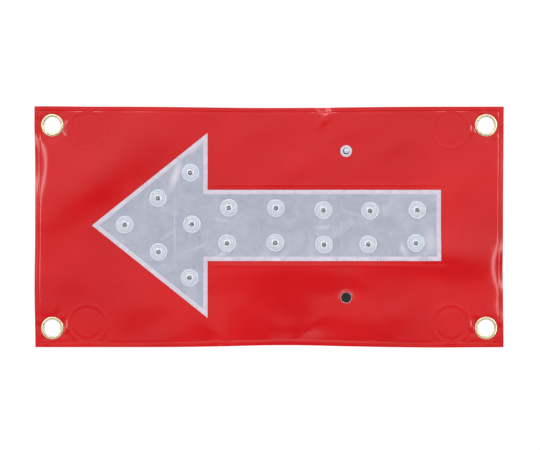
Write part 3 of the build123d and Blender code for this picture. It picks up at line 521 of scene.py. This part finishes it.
eyeletRadius, magnetRadius = 14.5, 17.5
lampPlaces = [nodeMiddle(f"lamp_lens_{n:02}") for n in range(1, 17)]
eyeletPlaces = cornerPlaces("eyelets", eyeletRadius)
magnetPlaces = cornerPlaces("magnets", magnetRadius)
buttonPlace = nodeMiddle("push_button")
sensorPlace = nodeMiddle("sensor_ring")
sheetLow, sheetHigh = (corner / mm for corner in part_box("front_sheet"))
panelLow, panelHigh = (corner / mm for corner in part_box("arrow_panel"))
caseLow, caseHigh = (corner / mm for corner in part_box("case_cover"))
frontY, panelY = sheetLow.y, panelLow.y
panelMiddle = (panelLow.z + panelHigh.z) / 2


# How the sheet lies: every soft layer follows lift

sheetShape = {
    "cell": 3.0,
    "thickness": 0.6,
    "swells": (  # middle, reach, turn in degrees, rise towards the viewer
        ((34, -51), (104, 27), 0, 3.0),
        ((26, -172), (108, 56), 0, -5.0),
        ((16, -133), (22, 15), 0, 1.0),
        ((-40, -104), (16, 14), 30, 0.5),
        ((222, -34), (84, 24), -4, 3.3),
        ((-210, 69), (106, 29), 36, 3.2),
        ((-240, 106), (120, 50), 34, 2.0),
        ((-175, 125), (60, 18), 30, 0.7),
        ((-262, 20), (30, 60), 10, 0.8),
        ((-286, 60), (5, 26), -6, 0.35),
        ((-280, -8), (6, 22), 8, 0.30),
        ((60, 92), (100, 15), 32, 0.6),
        ((160, 104), (70, 13), 32, 0.6),
        ((250, 60), (60, 20), 40, 0.7),
        ((-20, 120), (60, 14), 28, 0.6),
        ((-180, -100), (80, 22), 28, 0.6),
        ((-120, -135), (60, 14), 20, 0.4),
        ((-255, -60), (40, 30), 60, 0.7),
        ((150, -115), (50, 16), 24, 0.5),
        ((-305, 86), (14, 34), 0, -5.6),
        ((-302, -30), (6, 60), 0, -0.9),
        ((306, -52), (14, 32), 0, -5.6),
        ((302, 60), (6, 60), 0, -0.8),
        ((300, -105), (9, 16), 20, -1.6),
        ((70, 158), (9, 8), 0, -3.4),
        ((72, 139), (14, 6.0), 52, 0.95),
    ),
    "ripple": 0.16,
    "held": (  # what holds the sheet flat, where its hold fades, and the share it leaves free
        (lampPlaces, 12.5, 25, 0.0), (eyeletPlaces, 15, 28, 0.0), (magnetPlaces, 14, 62, 0.15),
        ((buttonPlace, sensorPlace), 10, 24, 0.0),
    ),
    "backed": {  # how far past the arrow and the case the sheet stays backed
        "tip": 9.0, "slope": 0.8, "side": 7.5, "end": 8.0, "case": (5.0, 6.0), "weight": 0.6, "fade": 26.0,
    },
    "lineWidth": 0.8,
    "weldInset": 6.0,
    "weldDepth": 0.22,
    "nearMagnet": 33.0,
    "ringRadius": 24.5,
    "ringHeight": 0.17,
    "ringWidth": 2.0,
    "discHeight": 0.12,
    "traceOffset": 6.0,
    "traceHeight": 0.16,
    "pucker": {"height": 0.24, "radius": 18.5, "width": 4.0},
    "flangeDip": {"depth": 0.35, "radius": 14.8, "width": 1.5},
    "creaseZone": {"x": 70.0, "half": 18.0, "low": 116.0},
    "arcs": (  # left or right, low or high, radius, span in degrees, rise, width
        (-1, 1, 26.6, 32, 0.62, 1.5), (-1, 1, 23.0, 28, 0.50, 1.4), (-1, -1, 25.4, 17, 0.42, 1.2),
        (1, 1, 24.6, 18, 0.42, 1.2), (1, -1, 24.4, 16, 0.40, 1.2),
    ),
}


def heldShare(x, z):  # 0 where a rigid piece holds the sheet flat, 1 where it is free
    return min(
        least + (1 - least) * ease(nearest(x, z, places), start, end)
        for places, start, end, least in sheetShape["held"]
    )


def backedShare(x, z):  # 1 over the arrow's backing and the case, where the sheet can't sink
    s = sheetShape["backed"]
    off = abs(z - panelMiddle)
    headEnd = panelLow.x + arrowShape["headLength"] + s["end"]
    head = min((x - panelLow.x + s["tip"]) * s["slope"] - off, (headEnd - x) * s["slope"])
    shaft = min(arrowShape["shaftHalf"] + s["side"] - off, panelHigh.x + s["end"] - x, x - panelLow.x)
    roomX, roomZ = s["case"]
    case = roomX + min(x - caseLow.x, caseHigh.x - x), roomZ + min(z - caseLow.z, caseHigh.z - z)
    return ease(max(head, shaft, min(case) * s["weight"]), -s["fade"], 0)


def lift(x, z):
    s = sheetShape
    rise = sum(height * bell(x, z, centre, reach, turn) for centre, reach, turn, height in s["swells"])
    rise += s["ripple"] * 2 * noise.noise(Vector((x / 48, z / 30, 3.1)))
    rise *= heldShare(x, z)
    forward = (rise + math.sqrt(rise * rise + 0.04)) / 2 - 0.1  # the part of rise above zero, rounded off
    share = backedShare(x, z)
    return rise + (forward - rise) * share


def relief(x, z):  # the welded lines, magnet rings and puckers that both vinyl sheets take
    s = sheetShape
    rise = 0.0
    inset = min(sheetHigh.x - abs(x), sheetHigh.z - abs(z))
    if inset < 2 * s["weldInset"]:
        rise -= s["weldDepth"] * ridge(inset, s["weldInset"], s["lineWidth"])
    for px, pz in magnetPlaces:
        far = math.hypot(x - px, z - pz)
        if far < s["nearMagnet"]:
            rise += s["ringHeight"] * ridge(far, s["ringRadius"], s["ringWidth"])
            rise += s["discHeight"] * (1 - ease(far, magnetRadius - 0.6, magnetRadius + 1.2))
    for side, end, radius, span, height, width in s["arcs"]:
        dx, dz = x - side * magnetPlaces[3][0], z - end * magnetPlaces[3][1]
        far = math.hypot(dx, dz)
        if far < s["nearMagnet"] and side * dx > 0:
            turn = math.degrees(math.atan2(abs(dz), abs(dx)))
            rise += height * ridge(far, radius, width) * (1 - ease(turn, 0, span * 1.5))
    pucker, dip = s["pucker"], s["flangeDip"]
    for px, pz in eyeletPlaces:
        far, turn = math.hypot(x - px, z - pz), math.atan2(z - pz, x - px)
        if far < 2 * eyeletRadius:
            folds = math.cos(7 * turn + px * 0.3 + pz) + 0.5 * math.cos(11 * turn + pz)
            rise += pucker["height"] * folds * ridge(far, pucker["radius"], pucker["width"])
            rise -= dip["depth"] * ridge(far, dip["radius"], dip["width"])
    return rise


def backingTrace(x, z):  # the backing's edge, showing through beside the shaft
    s = sheetShape
    off, edge = abs(z - panelMiddle), arrowShape["shaftHalf"] + s["traceOffset"]
    start, end = panelLow.x + arrowShape["headLength"] + 4, panelHigh.x + s["traceOffset"]
    rise = 0.0
    if start < x < end + 1:
        rise += s["traceHeight"] * ease(x, start, start + 12) * ridge(off, edge, s["lineWidth"])
    if off < edge:
        rise += s["traceHeight"] * ridge(x, end, s["lineWidth"])
    return rise


# Each edge has a shift, its bows as height, middle and reach, and its wave as size, pitch and start
edgeShape = {
    "fadeX": (255, 299),
    "fadeZ": (120, 154),
    "top": (-1.2, ((-1.7, 5, 120), (0.5, -285, 40)), (0.0, 1, 0.0)),
    "bottom": (0.4, ((2.2, 20, 85), (-0.5, 215, 60)), (0.0, 1, 0.0)),
    "left": (-0.4, ((0.5, -130, 40),), (0.6, 34, 0.9)),
    "right": (0.3, (), (0.5, 70, -1.2)),
}


def edgeShift(side, along):
    shift, bows, (size, pitch, start) = edgeShape[side]
    bow = sum(height * bell(along, 0, (middle, 0), (reach, 1)) for height, middle, reach in bows)
    return shift + bow + size * math.sin(along / pitch + start)


def edgeWave(x, z):  # the cut edges aren't quite straight
    alongX, alongZ = edgeShift("left" if x < 0 else "right", z), edgeShift("top" if z > 0 else "bottom", x)
    return ease(abs(x), *edgeShape["fadeX"]) * alongX, ease(abs(z), *edgeShape["fadeZ"]) * alongZ


def clothGrid(cell):
    low, high = sheetLow, sheetHigh
    bm = bmesh.new()
    bmesh.ops.create_grid(
        bm, x_segments=round((high.x - low.x) / cell), y_segments=round((high.z - low.z) / cell), size=1.0,
    )
    bmesh.ops.scale(bm, vec=((high.x - low.x) / 2, (high.z - low.z) / 2, 1), verts=bm.verts)
    bmesh.ops.rotate(bm, verts=bm.verts, cent=(0, 0, 0), matrix=Matrix.Rotation(math.pi / 2, 3, "X"))
    for step in (-2, -1, 0, 1, 2):
        inset = sheetShape["weldInset"] + step * sheetShape["lineWidth"]
        for side in (-1, 1):
            cutLine(bm, (side * (high.x - inset), 0, 0), (1, 0, 0))
            cutLine(bm, (0, 0, side * (high.z - inset)), (0, 0, 1))
    return bm


def nearMagnet(x, z):
    return nearest(x, z, magnetPlaces) < sheetShape["nearMagnet"]


def nearCrease(x, z):
    zone = sheetShape["creaseZone"]
    return abs(x - zone["x"]) < zone["half"] and z > zone["low"]


def makeFrontSheet():
    s = sheetShape
    bm = clothGrid(s["cell"])
    for step in (-1, 0, 1):
        out = s["traceOffset"] + step * s["lineWidth"]
        for side in (-1, 1):
            cutLine(bm, (0, 0, panelMiddle + side * (arrowShape["shaftHalf"] + out)), (0, 0, 1))
        cutLine(bm, (panelHigh.x + out, 0, 0), (1, 0, 0))
    refine(bm, nearMagnet, 2)
    refine(bm, nearCrease, 2)
    for x, z in lampPlaces:
        punch(bm, x, z, lensShape["hole"])
    for x, z in eyeletPlaces:
        punch(bm, x, z, eyeletShape["hole"])
    punch(bm, *buttonPlace, buttonShape["hole"])
    punch(bm, *sensorPlace, sensorShape["hole"])
    for v in bm.verts:
        x, z = v.co.x, v.co.z
        shiftX, shiftZ = edgeWave(x, z)
        v.co = (x + shiftX, frontY - lift(x, z) - relief(x, z) - backingTrace(x, z), z + shiftZ)
    bmesh.ops.solidify(bm, geom=bm.faces[:], thickness=s["thickness"])
    return newPiece("frontVinyl", bm, ["red_vinyl"], replaced=["front_sheet"], sharpAngle=60)


# Rear sheet, drawn over the magnets, the lamps' boards and the case's flange

rearShape = {
    "cell": 3.0,
    "thickness": 0.5,
    "hem": 12.0,
    "padX": 204.0,
    "padZ": 96.0,
    "roof": 7.4,
    "slope": 26.0,
    "waver": 8.0,
    "cornerBlur": 9.0,
    "sag": 0.9,
    "folds": (  # middle, reach, turn in degrees, rise
        ((-50, 98), (130, 7), 11, 0.9), ((-150, 72), (90, 6), 26, 0.8), ((-160, -70), (96, 7), -25, 0.9),
        ((-40, -104), (120, 7), -9, 0.8), ((195, 66), (62, 6), -32, 0.7), ((200, -70), (60, 6), 34, 0.8),
        ((20, 24), (70, 8), 5, 0.5), ((-190, 6), (70, 7), 6, 0.6), ((215, 4), (44, 7), -8, 0.6),
        ((30, -42), (60, 6), -14, 0.5),
    ),
    "wrinkle": 0.30,
    "crease": 0.5,
    "caseHold": (4.0, 34.0),
    "lampBump": {"height": 0.45, "inner": 6.0, "outer": 13.0},
    "boss": {"radius": 17.9, "height": 5.1, "slope": 2.6, "spread": 16.0, "reach": 30.0},
    "windowGap": 0.3,
}


def pocketShare(x, z):
    s = rearShape
    shift = s["waver"] * noise.noise(Vector((x / 60, z / 60, 2.2)))
    wide = min(sheetHigh.x - s["hem"] - abs(x), s["padZ"] - abs(z))
    tall = min(s["padX"] - abs(x), sheetHigh.z - s["hem"] - abs(z))
    blur = s["cornerBlur"]
    inside = blur * math.log(math.exp(min(wide, 60) / blur) + math.exp(min(tall, 60) / blur))
    t = max(0.0, min(1.0, (inside + shift) / s["slope"]))
    return 1 - (1 - t) ** 2 * (1 + 0.5 * t)


def rearHeight(x, z):
    s = rearShape
    share = pocketShare(x, z)
    outX = max(caseLow.x - x, x - caseHigh.x, 0)
    outZ = max(caseLow.z - z, z - caseHigh.z, 0)
    free = ease(math.hypot(outX, outZ), *s["caseHold"])
    roof = s["roof"] - s["sag"] * free + s["wrinkle"] * free * noise.noise(Vector((x / 26, z / 26, 7.7)))
    roof += free * sum(height * bell(x, z, *where) for *where, height in s["folds"])
    bump, boss = s["lampBump"], s["boss"]
    roof += bump["height"] * free * (1 - ease(nearest(x, z, lampPlaces), bump["inner"], bump["outer"]))
    crease = noise.noise(Vector((x / 11, z / 11, 1.5))) * math.sin(share * math.pi)
    height = roof * share + crease * s["crease"]
    for px, pz in magnetPlaces:
        if max(abs(x - px), abs(z - pz)) < boss["reach"]:
            far = math.hypot(x - px, z - pz) - boss["radius"]
            height = max(height, boss["height"] * (1 - ease(far, 0, boss["slope"])))
            share += (1 - share) * (1 - ease(far, 0, boss["spread"]))
    return height - (1 - share) ** 2 * (lift(x, z) + min(relief(x, z), 0.1))


def makeRearSheet():
    s = rearShape
    bm = clothGrid(s["cell"])
    bmesh.ops.reverse_faces(bm, faces=bm.faces)
    gap = s["windowGap"]
    low, high = (caseLow.x - gap, caseLow.z - gap), (caseHigh.x + gap, caseHigh.z + gap)
    for x in (low[0], high[0]):
        cutLine(bm, (x, 0, 0), (1, 0, 0))
    for z in (low[1], high[1]):
        cutLine(bm, (0, 0, z), (0, 0, 1))
    refine(bm, nearMagnet, 2)
    inside = [
        f for f in bm.faces
        if low[0] < f.calc_center_median().x < high[0] and low[1] < f.calc_center_median().z < high[1]
    ]
    bmesh.ops.delete(bm, geom=inside, context="FACES")
    for x, z in eyeletPlaces:
        punch(bm, x, z, eyeletShape["hole"])
    for v in bm.verts:
        x, z = v.co.x, v.co.z
        shiftX, shiftZ = edgeWave(x, z)
        v.co = (x + shiftX, s["thickness"] + rearHeight(x, z), z + shiftZ)
    bmesh.ops.solidify(bm, geom=bm.faces[:], thickness=s["thickness"])
    return newPiece("rearVinyl", bm, ["red_vinyl"], replaced=["rear_sheet"], sharpAngle=60)


# Reflective arrow: film, white welded border and its pressed ribs

arrowShape = {
    "headLength": 148.0,
    "shaftHalf": 45.5,
    "cell": 3.0,
    "thickness": 0.5,
    "border": 5.6,
    "borderRise": 0.16,
    "ribPitch": 3.1,
    "ribSize": (1.9, 4.9, 0.22),
    "seam": -121.0,
    "seamDepth": 0.12,
    "seamWidth": 0.6,
    "seamHalf": 82.0,
    "ripple": 0.12,
    "ribRound": 0.14,
}


def arrowPoints():
    low, high, middle = panelLow, panelHigh, panelMiddle
    back, half = low.x + arrowShape["headLength"], arrowShape["shaftHalf"]
    return [
        (low.x, middle), (back, low.z), (back, middle - half), (high.x, middle - half),
        (high.x, middle + half), (back, middle + half), (back, high.z),
    ]


def makeArrowFilm():
    s = arrowShape
    bm = bmesh.new()
    v = [bm.verts.new((x, 0, z)) for x, z in arrowPoints()]
    bm.faces.new((v[0], v[1], v[2], v[5], v[6]))
    bm.faces.new((v[2], v[3], v[4], v[5]))
    x = panelLow.x + s["cell"]
    while x < panelHigh.x - 1:
        cutLine(bm, (x, 0, 0), (1, 0, 0))
        x += s["cell"]
    z = panelLow.z + s["cell"]
    while z < panelHigh.z - 1:
        cutLine(bm, (0, 0, z), (0, 0, 1))
        z += s["cell"]
    for step in (-0.7, 0, 0.7):
        cutLine(bm, (s["seam"] + step, 0, 0), (1, 0, 0))
    for px, pz in lampPlaces:
        punch(bm, px, pz, lensShape["hole"])
    for vert in bm.verts:
        x, z = vert.co.x, vert.co.z
        ripple = s["ripple"] * noise.noise(Vector((x / 22, z / 16, 5.0))) * heldShare(x, z)
        seam = s["seamDepth"] * ridge(x, s["seam"], s["seamWidth"]) * ease(s["seamHalf"] - abs(z), 0, 10)
        vert.co.y = panelY - lift(x, z) - abs(ripple) - seam
    bmesh.ops.recalc_face_normals(bm, faces=bm.faces)
    if sum(f.normal.y * f.calc_area() for f in bm.faces) > 0:
        bmesh.ops.reverse_faces(bm, faces=bm.faces)
    bmesh.ops.solidify(bm, geom=bm.faces[:], thickness=s["thickness"])
    return newPiece(
        "arrowFilm", bm, ["prismatic_film"], replaced=["arrow_panel"], sharpAngle=60,
    )


def makeArrowBorder():
    s = arrowShape
    points = arrowPoints()
    bm = bmesh.new()
    face = bm.faces.new([bm.verts.new((x, 0, z)) for x, z in points])
    face.normal_update()
    if face.normal.y > 0:
        bmesh.ops.reverse_faces(bm, faces=[face])
    bmesh.ops.inset_region(bm, faces=[face], thickness=s["border"], use_boundary=True, use_even_offset=True)
    bmesh.ops.delete(bm, geom=[face], context="FACES")
    long = [e for e in bm.edges if e.calc_length() > 20]
    bmesh.ops.subdivide_edges(bm, edges=long, cuts=60, use_grid_fill=True)
    for v in bm.verts:
        v.co.y = panelY - s["borderRise"] - lift(v.co.x, v.co.z)
    bmesh.ops.solidify(bm, geom=bm.faces[:], thickness=s["borderRise"] + 0.1)
    ribs = bmesh.new()
    along, across, rise = s["ribSize"]
    for (x0, z0), (x1, z1) in zip(points, points[1:] + points[:1]):
        run = Vector((x1 - x0, z1 - z0))
        count = round(run.length / s["ribPitch"])
        inward = Vector((-run.y, run.x)).normalized() * (s["border"] / 2)
        turn = Matrix.Rotation(-math.atan2(run.y, run.x), 4, "Y")
        for i in range(count):
            share = (i + 0.5) / count
            x, z = x0 + run.x * share + inward.x, z0 + run.y * share + inward.y
            if min(share, 1 - share) * run.length < 3:
                continue
            place = Matrix.Translation((x, panelY - s["borderRise"] - lift(x, z), z))
            size = Matrix.Diagonal((along, rise, across, 1))
            bmesh.ops.create_cube(ribs, size=1.0, matrix=place @ turn @ size)
    bmesh.ops.bevel(
        ribs, geom=ribs.edges[:], offset=s["ribRound"], offset_type="OFFSET", segments=1, profile=0.5,
        affect="EDGES", material=-1,
    )
    joinInto(bm, ribs)
    return newPiece("arrowBorder", bm, ["welded_film"], sharpAngle=50)


# Lamps: a stepped clear button over a five millimetre bulb

lensShape = {
    "steps": 56,
    "hole": 6.3,
    "domeRadius": 3.1,
    "domeFoot": -2.92,
    "profile": (
        (0.0, -4.70), (1.6, -4.66), (3.0, -4.40), (4.3, -3.92), (5.3, -3.38), (5.8, -3.04), (5.95, -2.5),
        (6.25, -2.45), (6.4, -2.88), (6.7, -2.92), (8.0, -2.90), (8.3, -2.80), (8.42, -2.5), (8.5, -1.7),
        (8.85, -1.7), (9.0, -2.28), (10.5, -2.36), (11.0, -2.28), (11.35, -2.08), (11.5, -1.80),
        (11.5, -1.22), (11.35, -1.1), (6.0, -1.1), (6.0, 2.8), (2.8, 2.8), (2.8, -3.0), (2.6, -3.3),
        (0.0, -3.3),
    ),
}
bulbShape = {
    "steps": 32,
    "radius": 2.5,
    "tip": -3.1,
    "foot": ((2.5, 2.8), (2.9, 2.8), (2.9, 3.35), (0.0, 3.35)),
    "leg": {"x": 1.27, "y": 4.1, "radius": 0.25, "length": 1.5},
    "core": 1.9,
    "leans": (  # how far each bulb's core sits off its axis
        (0.5, -0.5), (0.3, -0.3), (0.6, -0.4), (0.3, -0.6), (0.4, -0.6), (0.5, -0.4), (-0.3, -0.3),
        (0.0, -0.2), (0.3, 0.5), (-0.3, 0.6), (-0.2, 0.6), (-0.3, 0.3), (0.3, -0.5), (0.3, 0.3),
        (-0.5, 0.3), (-0.5, 0.2),
    ),
}


def makeLamps():
    s = lensShape
    for n, (x, z) in enumerate(lampPlaces, 1):
        bm = bmesh.new()
        spinProfile(bm, x, z, s["profile"], s["steps"])
        tidyShell(bm)
        for face in bm.faces:
            front = face.calc_center_median().y < s["domeFoot"]
            face.material_index = 1 if front and faceDistance(face, x, z) < s["domeRadius"] else 0
        newPiece(
            f"lampLens{n:02}", bm, ["clear_plastic", "clear_dome"],
            replaced=[f"lamp_lens_{n:02}"], sharpAngle=28,
        )
        makeBulb(n, x, z)


def makeBulb(n, x, z):
    s = bulbShape
    tip, radius = s["tip"], s["radius"]
    bm = bmesh.new()
    turns = [i * math.pi / 16 for i in range(9)]
    nose = [(radius * math.sin(turn), tip + radius - radius * math.cos(turn)) for turn in turns]
    spinProfile(bm, x, z, nose + list(s["foot"]), s["steps"])
    leg = s["leg"]
    for side in (-1, 1):
        place = Matrix.Translation((x + side * leg["x"], leg["y"], z)) @ Matrix.Rotation(math.pi / 2, 4, "X")
        bmesh.ops.create_cone(
            bm, cap_ends=True, segments=10, radius1=leg["radius"], radius2=leg["radius"],
            depth=leg["length"], matrix=place,
        )
    tidyShell(bm)
    shellFaces = len(bm.faces)
    dx, dz = s["leans"][n - 1]
    core = bmesh.new()
    cup = (
        (0.0, tip + 1.3), (s["core"] * 0.5, tip + 1.1), (s["core"], tip + 1.35), (s["core"], tip + 3.0),
        (0.5, tip + 3.6), (0.5, 3.0), (0.0, 3.0),
    )
    spinProfile(core, x + dx, z + dz, cup, 20)
    tidyShell(core)
    joinInto(bm, core)
    bm.faces.ensure_lookup_table()
    for face in bm.faces[shellFaces:]:
        face.material_index = 1
    newPiece(
        f"lampBulb{n:02}", bm, ["bulb_resin", "lead_frame"], replaced=[f"lamp_bulb_{n:02}"],
        sharpAngle=35,
    )


# Eyelets and their washers

eyeletShape = {
    "steps": 96,
    "hole": 11.3,
    "profile": (
        (14.5, -0.60), (14.52, -0.95), (14.38, -1.32), (13.95, -1.68), (13.25, -1.92), (12.4, -2.00),
        (11.65, -1.92), (11.05, -1.66), (10.68, -1.25), (10.5, -0.70), (10.5, 1.50), (10.62, 1.82),
        (10.9, 2.02), (11.3, 2.10), (12.1, 2.06), (12.55, 1.88), (12.70, 1.60), (12.62, 1.36), (12.3, 1.30),
        (11.0, 1.30), (11.0, -0.60),
    ),
    "washer": (
        (11.1, 0.52), (11.1, 1.28), (11.3, 1.30), (13.6, 1.26), (14.2, 1.12), (14.5, 0.82), (14.5, 0.52),
    ),
}


def makeEyelets():
    for name, node, key in (
        ("brassEyelets", "eyelets", "profile"), ("brassWashers", "eyelet_washers", "washer"),
    ):
        bm = bmesh.new()
        for x, z in eyeletPlaces:
            spinProfile(bm, x, z, eyeletShape[key], eyeletShape["steps"])
        tidyShell(bm)
        newPiece(name, bm, ["eyelet_brass"], replaced=[node], sharpAngle=40)


# Sensor and push button

sensorShape = {
    "steps": 64,
    "hole": 5.5,
    # inside bore and behind boreFront the ring is coloured black as painted shade
    "bore": 4.2,
    "boreFront": -1.2,
    # the window's ledge between these depths is coloured black as painted shade
    "gap": (-0.76, -0.5),
    "domeFoot": -0.74,
    "ring": (
        (7.5, -0.60), (7.52, -1.00), (7.40, -1.36), (7.10, -1.60), (6.60, -1.70), (5.30, -1.72),
        (4.60, -1.64), (4.22, -1.42), (4.12, -1.10), (4.12, 2.4), (5.3, 2.4), (5.3, -0.60),
    ),
    "window": (
        (0.0, -3.60), (1.0, -3.54), (1.9, -3.30), (2.6, -2.92), (3.05, -2.45), (3.3, -2.00), (3.4, -1.5),
        (3.4, -0.75), (3.96, -0.7), (4.0, -0.6), (4.0, 3.2), (0.0, 3.2),
    ),
    "lean": (0.42, 0.50),  # the dome sits off the ring's axis and leaves a gap below it, whose ledge is coloured black as painted shade
}
buttonShape = {
    "steps": 64,
    "hole": 6.9,
    # inside this radius the cuff is coloured white as a painted highlight ring
    "highlightLip": 7.1,
    "cap": (
        (0.0, -2.22), (2.4, -2.24), (4.2, -2.31), (5.1, -2.34), (5.7, -2.22), (6.05, -1.94), (6.2, -1.55),
        (6.25, -1.10), (6.25, 3.4),
    ),
    "cuff": (
        (6.66, -0.45), (6.66, -1.25), (6.80, -1.50), (7.10, -1.58), (7.45, -1.46), (7.80, -1.12),
        (8.3, -0.84), (9.3, -0.92), (9.9, -0.86), (10.5, -0.56),
    ),
}


def makeSensor():
    s = sensorShape
    x, z = sensorPlace
    bm = bmesh.new()
    spinProfile(bm, x, z, s["ring"], s["steps"])
    tidyShell(bm)
    # The ring's bore behind the dome takes the black finish as painted shade.
    for face in bm.faces:
        inner = faceDistance(face, x, z) < s["bore"] and face.calc_center_median().y > s["boreFront"]
        face.material_index = 1 if inner else 0
    newPiece(
        "sensorRing", bm, ["white_plastic", "switch_black"], replaced=["sensor_ring"],
        sharpAngle=35,
    )
    bm = bmesh.new()
    spinProfile(bm, x, z, s["window"], s["steps"])
    tidyShell(bm)
    for face in bm.faces:
        # The ledge round the dome's foot takes the black finish: painted shade in the gap the leaning dome
        # leaves.
        face.material_index = 1 if s["gap"][0] < face.calc_center_median().y < s["gap"][1] else 0
    dome = [v for v in bm.verts if v.co.y < s["domeFoot"]]
    bmesh.ops.translate(bm, vec=(s["lean"][0], 0, s["lean"][1]), verts=dome)
    newPiece(
        "sensorWindow", bm, ["clear_plastic", "switch_black"], replaced=["sensor_window"],
        sharpAngle=35,
    )


def makeButton():
    s = buttonShape
    low, high = (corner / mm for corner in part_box("push_button"))
    collar = (high.x - low.x) / 2
    bm = bmesh.new()
    back = ((collar, 3.4), (collar, 4.4), (1.5, 4.4), (1.5, high.y), (0.0, high.y))
    spinProfile(bm, *buttonPlace, s["cap"] + back, s["steps"])
    tidyShell(bm)
    newPiece(
        "buttonCap", bm, ["button_black"], body="button", replaced=["push_button"],
        sharpAngle=35,
    )
    bm = bmesh.new()
    spinProfile(bm, *buttonPlace, s["cuff"], s["steps"])
    tidyShell(bm)
    # The cuff's inner lip, hugging the cap, takes the white finish as a painted highlight ring.
    for face in bm.faces:
        face.material_index = 1 if faceDistance(face, *buttonPlace) < s["highlightLip"] else 0
    newPiece("buttonCuff", bm, ["red_vinyl", "white_plastic"], sharpAngle=45)


# Battery case: the frame's own shells with their outer edges rounded

caseShape = {"round": 0.45, "segments": 3, "doorRound": 0.3}


def roundedShell(name, node, slot, body, width, wanted):
    bm = bmesh.new()
    bm.from_mesh(nodes[node].data)
    bmesh.ops.scale(bm, vec=(1 / mm, 1 / mm, 1 / mm), verts=bm.verts)
    bmesh.ops.remove_doubles(bm, verts=bm.verts, dist=0.002)
    bmesh.ops.dissolve_limit(bm, angle_limit=math.radians(1.0), verts=bm.verts[:], edges=bm.edges[:])
    edges = [
        e for e in bm.edges
        if len(e.link_faces) == 2 and e.calc_face_angle(0) > math.radians(50) and e.is_convex and wanted(e)
    ]
    bmesh.ops.bevel(
        bm, geom=edges, offset=width, offset_type="OFFSET", segments=caseShape["segments"], profile=0.5,
        affect="EDGES", material=-1, clamp_overlap=True,
    )
    bmesh.ops.triangulate(bm, faces=[f for f in bm.faces if len(f.verts) > 4])
    return newPiece(name, bm, [slot], body=body, replaced=[node], sharpAngle=30)


def makeCase():
    def onBack(edge):
        return all(v.co.y > caseHigh.y - 0.05 for v in edge.verts)

    def onDoorBack(edge):
        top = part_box("battery_door")[1].y / mm
        return all(v.co.y > top - 0.6 for v in edge.verts) and edge.calc_length() > 2

    roundedShell("caseCover", "case_cover", "case_black", "root", caseShape["round"], onBack)
    roundedShell("batteryDoor", "battery_door", "case_black", "door", caseShape["doorRound"], onDoorBack)


# Finishes of the frame's own pieces that stay

def dressNodes():
    slots = {s["node"]: s["material_slot"] for s in frame["record"]["subparts"]}
    for name, piece in nodes.items():
        if piece.hide_render:
            continue
        piece.data.materials.clear()
        piece.data.materials.append(materials[slots[name]])


scene.view_settings.view_transform = "Standard"
placeCamera()
placeLights()
makeSky()
makeFloor()
print("camera, light and floor placed")

materials = makeMaterials()
print("materials made:", len(materials))

frontVinyl = makeFrontSheet()
print("front sheet made")
rearVinyl = makeRearSheet()
print("rear sheet made")
arrowFilm = makeArrowFilm()
arrowBorder = makeArrowBorder()
print("arrow made")
makeLamps()
print("lamps made")
makeEyelets()
makeSensor()
makeButton()
makeCase()
dressNodes()
print("hardware made")
